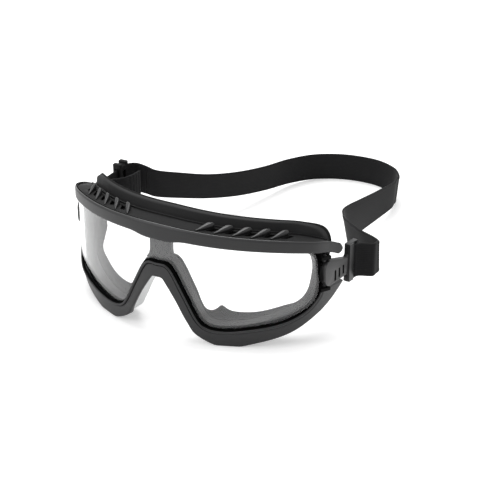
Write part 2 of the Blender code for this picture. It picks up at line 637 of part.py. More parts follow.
def make_nose_pad():
    """Pale saddle behind the bezel's nose edge, from leg to leg under the arch."""
    edge, rim, across, front, back = bezel_lines()
    first = (len(LENS_EDGE) - 4) * STEPS - STEPS // 2
    chain = slice(first, len(edge) - first)
    top = back[chain] - CLEAR
    inner = edge[chain] + across[chain] * (SHELL_OUT + 4 * CLEAR)
    outer = rim[chain] - across[chain] * PAD_INSET
    spread = across[chain] * PAD_SPREAD
    thick = across[chain] * PAD_THICK
    corners = [(inner, top), (outer, top), (outer - spread / 2, -PAD_DEPTH * 0.8),
               (outer - spread, -PAD_DEPTH), (outer - spread - thick, -PAD_DEPTH),
               (outer - spread / 2 - thick * 1.4, top - PAD_WEB), (inner, top - PAD_WEB)]
    rings = [wrap(place[:, 0], place[:, 1], n) for place, n in corners]
    return loft("nose_pad", np.stack(rings, axis=1), "nose_silicone")


def make_bracket(side, name):
    """Channel at the temple: two lugs and a web behind the clip's hub, drilled for the pin."""
    s = side * np.linspace(LENS_END + SHELL_OUT_TOP + 3 * CLEAR, PIN_S + LUG_HALF, 4)
    low = HUB_Z[0] - CLEAR - LUG_THICK
    high = HUB_Z[1] + CLEAR + LUG_THICK
    back = -SHELL_BACK
    front = -PIN_DEPTH + LUG_HALF
    profile = [(front, low), (front, low + LUG_THICK), (back + WEB_THICK, low + LUG_THICK),
               (back + WEB_THICK, high - LUG_THICK), (front, high - LUG_THICK), (front, high), (back, high),
               (back, low)]
    flat = np.ones(len(s))
    rings = section([s] * 8, [flat * z for n, z in profile], [flat * n for n, z in profile])
    bracket = loft(name, rings, "frame_black")
    hole = cylinder(name + "_hole", PIN_R + RUNNING, low - 1.0 * MM, high + 1.0 * MM, "frame_black",
                    (side * PIN_X, PIN_Y - MIDDLE_Y))
    combine(bracket, hole, "DIFFERENCE")
    return bracket


def make_pin(side, name):
    """Upright hinge pin through both lugs and the hub."""
    low = HUB_Z[0] - CLEAR - LUG_THICK
    high = HUB_Z[1] + CLEAR + LUG_THICK
    return cylinder(name, PIN_R, low, high, "pin_steel", (side * PIN_X, PIN_Y - MIDDLE_Y))


def plate_outline():
    """Arm and buckle in the arm's own plane, as (along the arm, height), and the holes in them."""
    start, end = ARM_LENGTH, ARM_LENGTH + BUCKLE_LENGTH
    neck = start - 1.0 * MM
    low_tip, high_tip = ARM_TIP_Z
    outline = [(neck, low_tip), (start, low_tip - 1.0 * MM), (start, BUCKLE_Z[0]), (end, BUCKLE_Z[0]),
               (end, BUCKLE_Z[1]), (start, BUCKLE_Z[1]), (start, high_tip + 1.4 * MM), (neck, high_tip)]
    turn = np.radians(np.linspace(0.0, 90.0, 5))
    for x, z in zip(ARM_ROUND * (1 - np.sin(turn)), ARM_ROUND * (1 - np.cos(turn))):
        outline.append((x - HUB_R, ARM_ROOT_Z[1] - z))
    for x, z in zip(ARM_ROUND * (1 - np.cos(turn)), ARM_ROUND * (1 - np.sin(turn))):
        outline.append((x - HUB_R, ARM_ROOT_Z[0] + z))
    holes = []
    for index in range(SLOT_COUNT):
        middle = (SLOT_FIRST + SLOT_PITCH * index, SLOT_Z + SLOT_CLIMB * index)
        holes.append((middle, (SLOT_SIZE[0], SLOT_SIZE[1] - SLOT_TAPER * index)))
    strap_middle = (SLOT_START + BUCKLE_SLOT / 2, STRAP_BASE_Z + STRAP_WIDTH / 2)
    holes.append((strap_middle, (BUCKLE_SLOT, STRAP_WIDTH + 2 * CLEAR)))
    return outline, holes


def make_plate(name):
    """The arm's plate from a flat curve with holes, stood upright in its object's own axes."""
    outline, holes = plate_outline()
    loops = [outline]
    for (x, z), (length, height) in holes:
        loops.append([(x - length / 2, z - height / 2), (x - length / 2, z + height / 2),
                      (x + length / 2, z + height / 2), (x + length / 2, z - height / 2)])
    curve = bpy.data.curves.new(name, "CURVE")
    curve.dimensions = "2D"
    curve.fill_mode = "BOTH"
    curve.extrude = ARM_THICK / 2
    for loop in loops:
        path = curve.splines.new("POLY")
        path.points.add(len(loop) - 1)
        path.use_cyclic_u = True
        for point, (x, z) in zip(path.points, loop):
            point.co = (x, z, 0.0, 1.0)
    drawn = bpy.data.objects.new(name + "_curve", curve)
    CUTTERS.objects.link(drawn)
    bpy.context.view_layer.update()
    mesh = bpy.data.meshes.new_from_object(drawn.evaluated_get(bpy.context.evaluated_depsgraph_get()))
    bpy.data.objects.remove(drawn)
    shape = bmesh.new()
    shape.from_mesh(mesh)
    bmesh.ops.remove_doubles(shape, verts=shape.verts, dist=0.01 * MM)
    for vertex in shape.verts:
        x, z, y = vertex.co
        vertex.co = (x, -y, z)
    bmesh.ops.recalc_face_normals(shape, faces=shape.faces)
    shape.to_mesh(mesh)
    shape.free()
    return mesh


def place_clip_piece(thing, side):
    """Put a piece drawn about the pin, with its arm along its own X, at its temple and splay."""
    thing.location = (side * PIN_X, PIN_Y - MIDDLE_Y, 0.0)
    thing.rotation_euler = (0.0, 0.0, math.pi / 2 - side * CLIP_SPLAY[side])
    return thing


def make_clip(side, name):
    """Hub on the pin, slotted arm, and a buckle whose rear bar takes the strap."""
    outward = -side
    hub = cylinder(name, HUB_R, BARREL_Z[0], BARREL_Z[1], "frame_black")
    plate = add_object(name + "_plate", make_plate(name + "_plate"), "frame_black")
    for vertex in plate.data.vertices:
        vertex.co.y += outward * ARM_OFFSET
    inner = outward * ARM_OFFSET
    outer = outward * (ARM_OFFSET + ARM_THICK / 2 + BUCKLE_PROUD)
    inset = CLEAR / 3
    bar = block(name + "_bar", (ARM_LENGTH + inset, min(inner, outer), BUCKLE_Z[0] + inset),
                (ARM_LENGTH + BUCKLE_BAR - inset, max(inner, outer), BUCKLE_Z[1] - inset), "frame_black")
    bore = cylinder(name + "_bore", PIN_R + RUNNING, HUB_Z[0] - 1.0 * MM, HUB_Z[1] + 1.0 * MM, "frame_black")
    for tool, operation in ((plate, "UNION"), (bar, "UNION"), (bore, "DIFFERENCE")):
        combine(hub, place_clip_piece(tool, side), operation)
    return place_clip_piece(hub, side)


def strap_rings(low, lean):
    """Rectangular sections of webbing along its lower edge; lean moves the upper edge sideways."""
    low = np.asarray(low, dtype=float)
    lean = np.asarray(lean, dtype=float)
    rise = np.sqrt(STRAP_WIDTH ** 2 - (lean ** 2).sum(axis=1))
    up = np.column_stack([lean, rise])
    run = np.gradient(low + up / 2, axis=0)
    normal = np.cross(run, up)
    normal *= STRAP_THICK / 2 / np.linalg.norm(normal, axis=1, keepdims=True)
    rings = np.stack([low - normal, low + normal, low + up + normal, low + up - normal], axis=1)
    rings[..., 2] = np.maximum(rings[..., 2], 0.0)
    return rings


def clip_point(side, along_arm, out_of_plate):
    """Plan point (x, y from the lens's front) that rides on a clip."""
    along, out = clip_axes(side)
    return np.array((side * PIN_X, PIN_Y)) + along * along_arm + out * (ARM_OFFSET + out_of_plate)


def level(points):
    """Lift plan points to the height of the strap's lower edge at the clips."""
    points = np.atleast_2d(points)
    return np.column_stack([points, np.full(len(points), STRAP_BASE_Z)])


def shifted(points):
    """Points measured from the lens's front, in the part's own frame."""
    return np.asarray(points) - (0.0, MIDDLE_Y, 0.0)


def make_strap_loop(side, name):
    """Sewn loop of webbing through the buckle's slot and round its rear bar."""
    turn = np.radians(np.linspace(90, 180, 5))
    bend = LOOP_OUT - ARM_THICK / 2
    outer = [(LOOP_CENTRE + bend * math.cos(a), ARM_THICK / 2 + bend * math.sin(a)) for a in turn]
    inner = [(along, -out) for along, out in reversed(outer)]
    flare = LOOP_FLARE if side > 0 else 0.0
    leg = [(LOOP_END - CLEAR, LOOP_OUT + flare), (LOOP_CENTRE + LOOP_LEG * 0.45, LOOP_OUT + flare * 0.3)]
    path = [*leg, *outer, *inner, (LOOP_END - CLEAR, -LOOP_OUT)]
    low = shifted(level([clip_point(side, along, out) for along, out in path]))
    thing = loft(name, strap_rings(low, np.zeros((len(low), 2))), "webbing")
    hinge = (side * PIN_X, PIN_Y - MIDDLE_Y, 0.0)
    return with_origin(thing, hinge)


def with_origin(thing, origin):
    """Move an object's origin to a point without moving its shape."""
    for vertex in thing.data.vertices:
        vertex.co = [value - start for value, start in zip(vertex.co, origin)]
    thing.location = origin
    return thing


def trimmed(route):
    """Lower edge and lean of a route, with its ends drawn back by half the gap to the next stretch."""
    low, lean = route[:, :3].copy(), route[:, 3:]
    for index, other in ((0, 1), (-1, -2)):
        step = low[other] - low[index]
        low[index] += step / np.linalg.norm(step) * CLEAR / 2
    return low, lean


def left_run_points():
    """Straight stretch of the left outer run, from its loop's end to the corner."""
    return level([clip_point(-1, LOOP_END + reach, LOOP_OUT) for reach in (0.0, LEFT_RUN / 2, LEFT_RUN)])


def upright(points):
    """Route points with no lean."""
    return np.hstack([points, np.zeros((len(points), 2))])


def make_straps():
    """Right run, back run, left outer run and the left end, which is sewn back on the strap."""
    first = (0.0, STRAP_THICK)
    join_back = np.hstack([JOIN_BACK, JOIN_BACK_LEAN])
    join_left = np.hstack([JOIN_LEFT, JOIN_LEFT_LEAN])
    flared = LOOP_OUT + LOOP_FLARE
    start = upright(level([clip_point(1, LOOP_END + reach, flared + reach) for reach in first]))
    right = spline(np.vstack([start, np.hstack([ROUTE_RIGHT, LEAN_RIGHT]), join_back]), STEPS)
    back = spline(np.vstack([join_back, np.hstack([ROUTE_BACK, LEAN_BACK]), join_left]), STEPS)
    straight = upright(left_run_points())
    corner = np.vstack([straight[-1:], np.hstack([ROUTE_CORNER, LEAN_CORNER]), join_left])
    left = np.vstack([straight[:-1], spline(corner, STEPS)])
    end_start = level([clip_point(-1, LOOP_END + reach, -LOOP_OUT) for reach in first])
    end = spline(upright(np.vstack([end_start, ROUTE_END])), STEPS)
    hinge = (-PIN_X, PIN_Y - MIDDLE_Y, 0.0)
    total = 0.0
    runs = {"strap_right": right, "strap_back": back, "strap_left": left, "strap_end": end}
    for name, route in runs.items():
        low, lean = trimmed(route)
        middle = low[:, :2] + lean / 2
        total += np.linalg.norm(np.diff(middle, axis=0), axis=1).sum()
        thing = loft(name, strap_rings(shifted(low), lean), "webbing")
        if name in ("strap_left", "strap_end"):
            with_origin(thing, hinge)
    print(f"webbing in the free stretches: {total * 1000:.0f} mm")


def make_slider():
    """Buckle that slides on the left run: two bars joined over and under the webbing."""
    low = STRAP_BASE_Z - CLEAR
    high = STRAP_BASE_Z + STRAP_WIDTH + CLEAR
    front = LOOP_END + SLIDER_PLACE
    back = front + SLIDER_LENGTH
    near = ARM_OFFSET + LOOP_OUT - STRAP_THICK / 2 - CLEAR
    far = near + STRAP_THICK + 2 * CLEAR
    wall = SLIDER_WALL
    gap_front, gap_back = front + SLIDER_BAR, back - SLIDER_BAR
    body = block("strap_slider", (front, near - wall, low - wall),
                 (back, far + wall, high + SLIDER_RISE), "frame_black")
    tunnel = block("slider_tunnel", (front - wall, near, low), (back + wall, far, high), "frame_black")
    window = block("slider_window", (gap_front, near - 2 * wall, low + wall),
                   (gap_back, far + 2 * wall, high - wall), "frame_black")
    notch = block("slider_notch", (gap_front, near - 2 * wall, high + wall),
                  (gap_back, far + 2 * wall, high + 2 * SLIDER_RISE), "frame_black")
    for tool in (tunnel, window, notch):
        combine(body, place_clip_piece(tool, -1), "DIFFERENCE")
    return place_clip_piece(body, -1)


def build():
    """Make every piece."""
    make_lens()
    make_brow_bar()
    make_lower_bezel()
    make_frame_shell()
    make_bridge_post()
    make_vent_deck()
    make_face_seal()
    make_nose_pad()
    for side, word in ((1, "right"), (-1, "left")):
        make_louvres(side, "vent_louvres_" + word)
        make_bracket(side, "hinge_bracket_" + word)
        make_pin(side, "hinge_pin_" + word)
        make_clip(side, "strap_clip_" + word)
        make_strap_loop(side, "strap_loop_" + word)
    make_straps()
    make_slider()


build()
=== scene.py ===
# %% [markdown]
# # Safety goggles, dressed
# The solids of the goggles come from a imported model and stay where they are. This lesson gives each of
# them its finished surface: moulded plastic with rounded edges, a clear lens, soft rubber and webbing.
# Lengths are metres, +Z is up and the lens faces -Y. Left and right are as seen from the front.

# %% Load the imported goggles
import json
import math

import bmesh
import bpy
import numpy as np
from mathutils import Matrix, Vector


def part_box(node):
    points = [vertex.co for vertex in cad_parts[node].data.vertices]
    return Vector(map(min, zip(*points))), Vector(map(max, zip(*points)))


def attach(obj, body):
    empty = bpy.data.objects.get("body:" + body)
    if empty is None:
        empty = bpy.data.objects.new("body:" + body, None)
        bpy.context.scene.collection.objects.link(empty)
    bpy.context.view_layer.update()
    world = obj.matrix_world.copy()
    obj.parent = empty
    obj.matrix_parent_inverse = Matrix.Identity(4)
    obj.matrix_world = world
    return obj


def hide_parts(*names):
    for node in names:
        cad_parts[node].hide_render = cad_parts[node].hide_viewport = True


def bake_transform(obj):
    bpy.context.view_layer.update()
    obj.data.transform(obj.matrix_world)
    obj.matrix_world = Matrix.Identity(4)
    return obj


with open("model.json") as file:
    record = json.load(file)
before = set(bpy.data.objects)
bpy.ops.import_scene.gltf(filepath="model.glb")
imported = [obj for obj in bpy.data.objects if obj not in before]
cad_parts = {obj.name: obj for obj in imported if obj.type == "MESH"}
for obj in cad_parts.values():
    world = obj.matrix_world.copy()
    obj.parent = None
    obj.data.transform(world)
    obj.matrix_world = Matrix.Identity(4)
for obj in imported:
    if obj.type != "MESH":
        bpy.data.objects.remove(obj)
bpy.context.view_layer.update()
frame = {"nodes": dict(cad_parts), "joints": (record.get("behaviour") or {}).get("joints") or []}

MM = 0.001
CLEAR = 0.3 * MM            # room between neighbouring pieces

# %% [markdown]
# ## Camera
# The camera comes first, because everything is judged through it. It stands 30 degrees round to the
# right and 26 degrees up, far enough away for a flat, product-like perspective. A tall sensor fit keeps
# the framing the same whatever the picture's width is.

# %% Set up the camera
CAMERA_PLACE = Vector((0.3684, -0.5766, 0.3691))
CAMERA_TURN = math.radians(30)
CAMERA_TILT = math.radians(26)
CAMERA_LENS = 103.47

camera_data = bpy.data.cameras.new("camera")
camera_data.sensor_fit = "VERTICAL"
camera_data.sensor_height = 36.0
camera_data.lens = CAMERA_LENS
camera = bpy.data.objects.new("camera", camera_data)
bpy.context.scene.collection.objects.link(camera)
bpy.context.scene.camera = camera
camera.location = CAMERA_PLACE
look = Vector((-math.sin(CAMERA_TURN) * math.cos(CAMERA_TILT),
               math.cos(CAMERA_TURN) * math.cos(CAMERA_TILT), -math.sin(CAMERA_TILT)))
camera.rotation_mode = "QUATERNION"
camera.rotation_quaternion = look.to_track_quat("-Z", "Y")
print("camera", round(CAMERA_PLACE.length, 3), "m from the origin")

# %% [markdown]
# ## Meshes from grids
# Nearly every piece here is a profile carried along a path, so it is a grid of points: one row for each
# station along the path, one column for each point of the profile. Working the whole grid out with
# numpy is quick, and one function turns any such grid into a mesh.

# %% Grid helpers
ROUND_STEPS = 4             # steps in a rounded corner
ROUND_POINTS = ROUND_STEPS + 1
ROUND_SHARE = 0.47          # most of a side that one corner may take


def spline(points, steps, closed=False):
    """Catmull-Rom curve: on a stretch from b to c, with a before and d after, the point at t is
    half of 2b + (c-a)t + (2a-5b+4c-d)t^2 + (3b-a-3c+d)t^3."""
    points = np.asarray(points, dtype=float)
    if closed:
        padded = np.concatenate([points[-1:], points, points[:2]])
    else:
        padded = np.concatenate([2 * points[:1] - points[1:2], points, 2 * points[-1:] - points[-2:-1]])
    a, b, c, d = (padded[k:len(padded) - 3 + k, None] for k in range(4))
    t = (np.arange(steps) / steps)[None, :, None]
    curve = 0.5 * (2 * b + (c - a) * t + (2 * a - 5 * b + 4 * c - d) * t ** 2
                   + (3 * b - a - 3 * c + d) * t ** 3)
    curve = curve.reshape(-1, points.shape[1])
    return curve if closed else np.concatenate([curve, points[-1:]])


def rounded(corners, radii, steps=ROUND_STEPS):
    """Profile with rounded corners, as an array (points, stations, 3). Corner b, with neighbours a and
    c, becomes (1-t)^2 p + 2t(1-t) b + t^2 q, where p and q are a radius from b towards a and c."""
    b = np.asarray(corners, dtype=float)
    radii = np.broadcast_to(np.asarray(radii, dtype=float), len(b)).reshape(-1, 1, 1)
    sides = []
    for neighbour in (np.roll(b, 1, axis=0), np.roll(b, -1, axis=0)):
        step = neighbour - b
        length = np.linalg.norm(step, axis=-1, keepdims=True)
        sides.append(b + step * np.minimum(radii / np.maximum(length, 1e-9), ROUND_SHARE))
    t = np.linspace(0.0, 1.0, steps + 1)[None, :, None, None]
    curve = (1 - t) ** 2 * sides[0][:, None] + 2 * t * (1 - t) * b[:, None] + t ** 2 * sides[1][:, None]
    return curve.reshape(-1, *b.shape[1:])


def grid_faces(rows, columns, closed, first=0):
    """Quads of a grid whose columns close round the profile; open rows get a cap at each end."""
    row = np.arange(rows if closed else rows - 1)[:, None]
    column = np.arange(columns)[None, :]
    after = (column + 1) % columns
    here, there = row * columns, (row + 1) % rows * columns
    quads = np.stack([here + column, here + after, there + after, there + column], axis=-1)
    faces = (quads.reshape(-1, 4) + first).tolist()
    if not closed:
        faces.append((np.arange(columns)[::-1] + first).tolist())
        faces.append((np.arange(columns) + (rows - 1) * columns + first).tolist())
    return faces


def finish_mesh(mesh, sharp=38.0):
    """Faces pointing out, shaded smooth up to an angle in degrees."""
    shape = bmesh.new()
    shape.from_mesh(mesh)
    bmesh.ops.recalc_face_normals(shape, faces=shape.faces)
    shape.to_mesh(mesh)
    shape.free()
    mesh.shade_smooth()
    mesh.set_sharp_from_angle(angle=math.radians(sharp))


def add_piece(name, mesh, materials):
    """Put a mesh in the scene as an object at the origin."""
    for material in materials:
        mesh.materials.append(material)
    piece = bpy.data.objects.new(name, mesh)
    bpy.context.scene.collection.objects.link(piece)
    return piece


def skin(name, grids, materials, closed=False, bands=None):
    """One piece from grids (stations, profile points, 3). bands gives each profile strip's material."""
    points, faces = [], []
    for grid in grids:
        rows, columns = grid.shape[:2]
        faces += grid_faces(rows, columns, closed, sum(map(len, points)))
        points.append(grid.reshape(-1, 3))
    mesh = bpy.data.meshes.new(name)
    mesh.from_pydata(np.concatenate(points).tolist(), [], faces)
    if bands is not None:
        strips = np.zeros(len(faces), dtype=np.int32)
        whole = len(faces) // len(bands) * len(bands)
        strips[:whole] = np.tile(bands, whole // len(bands))
        mesh.polygons.foreach_set("material_index", strips)
    finish_mesh(mesh)
    return add_piece(name, mesh, materials)


def stand_for(piece, body, slot, *nodes):
    """The piece takes the place of its solids and moves with a body; the slot is not used."""
    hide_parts(*nodes)
    if body:
        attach(piece, body)
    print(piece.name, len(piece.data.polygons), "faces")
    return piece


# %% [markdown]
# ## The front as a flat drawing
# The front of the goggles is drawn flat: s runs along the lens, z up, and n out of the lens's front
# face. Wrapping the drawing round the lens then bends every piece alike. In plan the lens is one wide
# arc with a tighter arc at each temple. The lens's own solid says where its front face lies.

# %% Wrap the drawing round the lens
LENS_RADIUS = 102.0 * MM
TEMPLE_RADIUS = 58.0 * MM
TEMPLE_START = 66.0 * MM
FRONT_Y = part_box("lens")[0].y


def on_front(s, n):
    """Plan place: x = (R-r) sin a + (r+n) sin t and y = R - (R-r) cos a - (r+n) cos t, where a is the
    wide arc's angle and t adds the temple arc's."""
    reach = np.abs(s)
    a = np.minimum(reach, TEMPLE_START) / LENS_RADIUS
    t = a + np.maximum(reach - TEMPLE_START, 0.0) / TEMPLE_RADIUS
    shift = LENS_RADIUS - TEMPLE_RADIUS
    radius = TEMPLE_RADIUS + n
    return (np.sign(s) * (shift * np.sin(a) + radius * np.sin(t)),
            LENS_RADIUS - shift * np.cos(a) - radius * np.cos(t))


def wrap(s, z, n):
    """World points of the flat drawing."""
    s, z, n = np.broadcast_arrays(s, z, n)
    x, y = on_front(s, n)
    return np.stack([x, y + FRONT_Y, z], axis=-1)


print("lens front at y =", round(FRONT_Y, 4))

# %% [markdown]
# ## Outlines
# Three lines shape the front: the brow bar's top edge, which falls evenly to the temples and hooks
# down there, the lens's lower edge with its cut for the nose, and the bezel's outer edge. Only the right
# half is drawn, and the left half mirrors it.

# %% Draw the outlines
BAR_HALF = 103.0 * MM
BAR_HOOK = 9.4 * MM
BAR_TOP = 64.9 * MM
BAR_SLOPE = 0.062
BAR_CROWN = 10.0 * MM       # how far the fall is rounded, over the nose
LENS_INSET = 3.2 * MM
LENS_END = 85.4 * MM
LENS_END_Z = (34.0 * MM, 50.0 * MM)
LENS_CORNER = 2.4 * MM
LENS_EDGE = np.array([(0, 42.4), (5.5, 42.2), (9.5, 38.0), (16, 25.8), (22, 14.4), (27, 10.0), (36, 9.0),
                      (50, 10.9), (65, 15.2), (77, 19.8), (83.6, 25.4)]) * MM
FINE = 12                   # stations to a drawn stretch


def mirrored(half):
    """A row of (s, z) points from the left end to the right one, from its right half."""
    half = np.asarray(half)
    return np.vstack([half[:0:-1] * (-1, 1), half])


def bar_top(s):
    """Top edge of the brow bar: an even fall, rounded over the nose, and a sixth-power hook."""
    fall = BAR_SLOPE * (np.hypot(s, BAR_CROWN) - BAR_CROWN)
    return BAR_TOP - fall - BAR_HOOK * np.abs(s / BAR_HALF) ** 6


def lens_top(s):
    """Top edge of the lens, behind the bar."""
    return bar_top(s) - LENS_INSET


LOWER = mirrored(np.vstack([LENS_EDGE, [(LENS_END, LENS_END_Z[0])]]))
UPPER_S = np.linspace(0.0, 1.0, 7)[:-1] * LENS_END
UPPER = mirrored(np.vstack([np.column_stack([UPPER_S, lens_top(UPPER_S)]),
                            (LENS_END - LENS_CORNER, LENS_END_Z[1])]))
TEMPLE = np.array([(LENS_END + CLEAR, sum(LENS_END_Z) / 2)])
OUTLINE = np.vstack([LOWER, TEMPLE, UPPER[::-1], TEMPLE * (-1, 1)])
RING = spline(OUTLINE, FINE, closed=True)
RUN = np.roll(RING, -1, axis=0) - np.roll(RING, 1, axis=0)
RUN /= np.linalg.norm(RUN, axis=1, keepdims=True)
RING_OUT = np.column_stack([RUN[:, 1], -RUN[:, 0]])
print("stations round the lens:", len(RING))

# %% [markdown]
# ## Shared shader effects
# Two effects serve several finishes. Moulded grain is the fine spark-eroded texture of a plastic
# mould with a slow change of tone over it. Webbing weave lays ribs along the strap and picks across
# it, read from the strap's own UV map in metres. Each is a node group, built once.

# %% Node helpers


def node(tree, kind, inputs=None, **settings):
    """A shader node with its settings and its unlinked inputs."""
    made = tree.nodes.new(kind)
    for key, value in settings.items():
        setattr(made, key, value)
    for key, value in (inputs or {}).items():
        if isinstance(value, bpy.types.NodeSocket):
            tree.links.new(value, made.inputs[key])
        else:
            made.inputs[key].default_value = value
    return made


def maths(tree, operation, *values):
    """Output of a maths node with the given inputs."""
    return node(tree, "ShaderNodeMath", dict(enumerate(values)), operation=operation).outputs[0]


def new_group(name, inputs, outputs):
    """An empty shader group with named sockets, and its input and output nodes."""
    tree = bpy.data.node_groups.new(name, "ShaderNodeTree")
    for key, kind in inputs.items():
        tree.interface.new_socket(name=key, in_out="INPUT", socket_type=kind)
    for key, kind in outputs.items():
        tree.interface.new_socket(name=key, in_out="OUTPUT", socket_type=kind)
    return tree, tree.nodes.new("NodeGroupInput"), tree.nodes.new("NodeGroupOutput")


FLOAT, VECTOR = "NodeSocketFloat", "NodeSocketVector"

# %% Moulded grain
GRAIN, grain_in, grain_out = new_group(
    "moulded_grain", {"Position": VECTOR, "Grain Scale": FLOAT, "Tone Scale": FLOAT},
    {"Grain": FLOAT, "Tone": FLOAT})
for effect_name, detail, roughness in (("Grain", 3.0, 0.6), ("Tone", 2.0, 0.5)):
    noise = node(GRAIN, "ShaderNodeTexNoise", {"Vector": grain_in.outputs["Position"], "Detail": detail,
                                               "Scale": grain_in.outputs[effect_name + " Scale"],
                                               "Roughness": roughness})
    GRAIN.links.new(noise.outputs["Fac"], grain_out.inputs[effect_name])
print("group:", GRAIN.name)

# %% Webbing weave
RIB_PITCH = 1.05 * MM
PICK_PITCH = 0.70 * MM
PICK_SHARE = 0.6            # height of the picks beside the ribs
SLUB_SCALE = 420.0
WEAVE, weave_in, weave_out = new_group("webbing_weave", {"UV": VECTOR}, {"Height": FLOAT, "Shade": FLOAT})
weave_axes = node(WEAVE, "ShaderNodeSeparateXYZ", {"Vector": weave_in.outputs["UV"]})


def wave(axis, pitch):
    """Sine of 2 pi times an axis over a pitch, lifted to the range 0 to 1."""
    sine = maths(WEAVE, "SINE", maths(WEAVE, "MULTIPLY", axis, 2 * math.pi / pitch))
    return maths(WEAVE, "MULTIPLY_ADD", sine, 0.5, 0.5)


ribs = wave(weave_axes.outputs["Y"], RIB_PITCH)
picks = wave(weave_axes.outputs["X"], PICK_PITCH)
weave_height = maths(WEAVE, "MULTIPLY_ADD", maths(WEAVE, "MULTIPLY", ribs, picks), PICK_SHARE, ribs)
slubs = node(WEAVE, "ShaderNodeTexNoise", {"Vector": weave_in.outputs["UV"], "Scale": SLUB_SCALE,
                                           "Detail": 3.0})
weave_shade = maths(WEAVE, "MULTIPLY", weave_height, slubs.outputs["Fac"])
WEAVE.links.new(weave_height, weave_out.inputs["Height"])
WEAVE.links.new(weave_shade, weave_out.inputs["Shade"])
print("group:", WEAVE.name)

# %% [markdown]
# ## Finishes
# The frame is a satin black plastic. The clips and louvre blades are glossier and a touch lighter, the
# lighter colour a painted highlight, and the bar's edge is painted much lighter as a highlight. The deck
# is duller and painted darker, as the shade of the flange behind it; the slider shares that dark colour.
# The hinge brackets and the louvre rail are painted near black as shade. The seal is a softer, duller
# black, and the nose saddle a pale silicone. The gap round the lens is so narrow and deep that no light
# comes out of it, so its lip is painted near black as shade. The lens is clear and lets lamps through, as
# a real visor shows no dark shadow.

# %% Plastic, rubber and silicone


def new_finish(name):
    """A material with its tree and its Principled shader."""
    material = bpy.data.materials.new(name)
    material.use_nodes = True
    tree = material.node_tree
    return material, tree, tree.nodes["Principled BSDF"]


def moulded(name, dark, light, roughness, grain, tone, depth, specular=0.5):
    """Moulded finish: tone mixes two colours, grain moves the roughness and the bump."""
    material, tree, shader = new_finish(name)
    place = node(tree, "ShaderNodeTexCoord")
    effect = node(tree, "ShaderNodeGroup", node_tree=GRAIN)
    effect.inputs["Grain Scale"].default_value = grain
    effect.inputs["Tone Scale"].default_value = tone
    tree.links.new(place.outputs["Object"], effect.inputs["Position"])
    colour = node(tree, "ShaderNodeMix", {"Factor": effect.outputs["Tone"]}, data_type="RGBA")
    colour.inputs["A"].default_value = (*dark, 1.0)
    colour.inputs["B"].default_value = (*light, 1.0)
    tree.links.new(colour.outputs["Result"], shader.inputs["Base Color"])
    rough = node(tree, "ShaderNodeMapRange", {"Value": effect.outputs["Grain"], "To Min": roughness[0],
                                              "To Max": roughness[1]})
    tree.links.new(rough.outputs["Result"], shader.inputs["Roughness"])
    bump = node(tree, "ShaderNodeBump", {"Height": effect.outputs["Grain"], "Distance": depth,
                                         "Strength": 0.6})
    tree.links.new(bump.outputs["Normal"], shader.inputs["Normal"])
    shader.inputs["Specular IOR Level"].default_value = specular
    return material


PLASTIC = moulded("frame_plastic", (0.012, 0.012, 0.0125), (0.020, 0.020, 0.021), (0.34, 0.50),
                  2200.0, 45.0, 0.06 * MM, specular=0.38)
# Glossier than the frame plastic, and a touch lighter as a painted highlight, for the clips and louvre
# blades.
GLOSSY_LIGHTER_PLASTIC = moulded("glossy_plastic_painted_highlight", (0.014, 0.014, 0.0145), (0.022, 0.022, 0.023), (0.26, 0.40),
                       2200.0, 45.0, 0.05 * MM, specular=0.44)
# Painted highlight: a much lighter, glossier colour for the bright line along the bar's top edge.
EDGE_HIGHLIGHT = moulded("painted_edge_highlight", (0.045, 0.045, 0.046), (0.060, 0.060, 0.061), (0.20, 0.30),
                       2200.0, 45.0, 0.02 * MM, specular=0.6)
# Painted shade: darker and duller, for the deck shaded by the flange behind it; the slider takes the same
# dark colour.
DARK_SHADE_PLASTIC = moulded("dark_plastic_deck_shade", (0.005, 0.005, 0.0052), (0.010, 0.010, 0.0104), (0.44, 0.60),
                       1500.0, 60.0, 0.08 * MM, specular=0.12)
# Painted shade: near black, for the hinge brackets' recesses and the louvre rail between the vents.
NEAR_BLACK = moulded("near_black", (0.003, 0.003, 0.003), (0.005, 0.005, 0.005), (0.70, 0.85),
                 1500.0, 60.0, 0.02 * MM, specular=0.12)
RUBBER = moulded("seal_rubber", (0.008, 0.008, 0.0085), (0.014, 0.014, 0.0145), (0.58, 0.74),
                 1900.0, 60.0, 0.03 * MM, specular=0.3)
SILICONE = moulded("nose_silicone", (0.70, 0.71, 0.71), (0.80, 0.81, 0.81), (0.30, 0.44),
                   900.0, 80.0, 0.02 * MM)
# Painted shade: near black and almost unreflecting, for the gap round the lens, the lens's rim and the
# strip behind the bar's edge.
SHADOW_GAP = moulded("painted_gap_shade", (0.002, 0.002, 0.002), (0.003, 0.003, 0.003), (0.86, 0.94),
                     900.0, 80.0, 0.01 * MM, specular=0.03)
STEEL = moulded("pin_steel", (0.05, 0.05, 0.052), (0.08, 0.08, 0.082), (0.50, 0.62),
                3200.0, 120.0, 0.01 * MM)
STEEL.node_tree.nodes["Principled BSDF"].inputs["Metallic"].default_value = 1.0
print("moulded finishes:", PLASTIC.name, RUBBER.name, SILICONE.name, STEEL.name)

# %% Clear lens


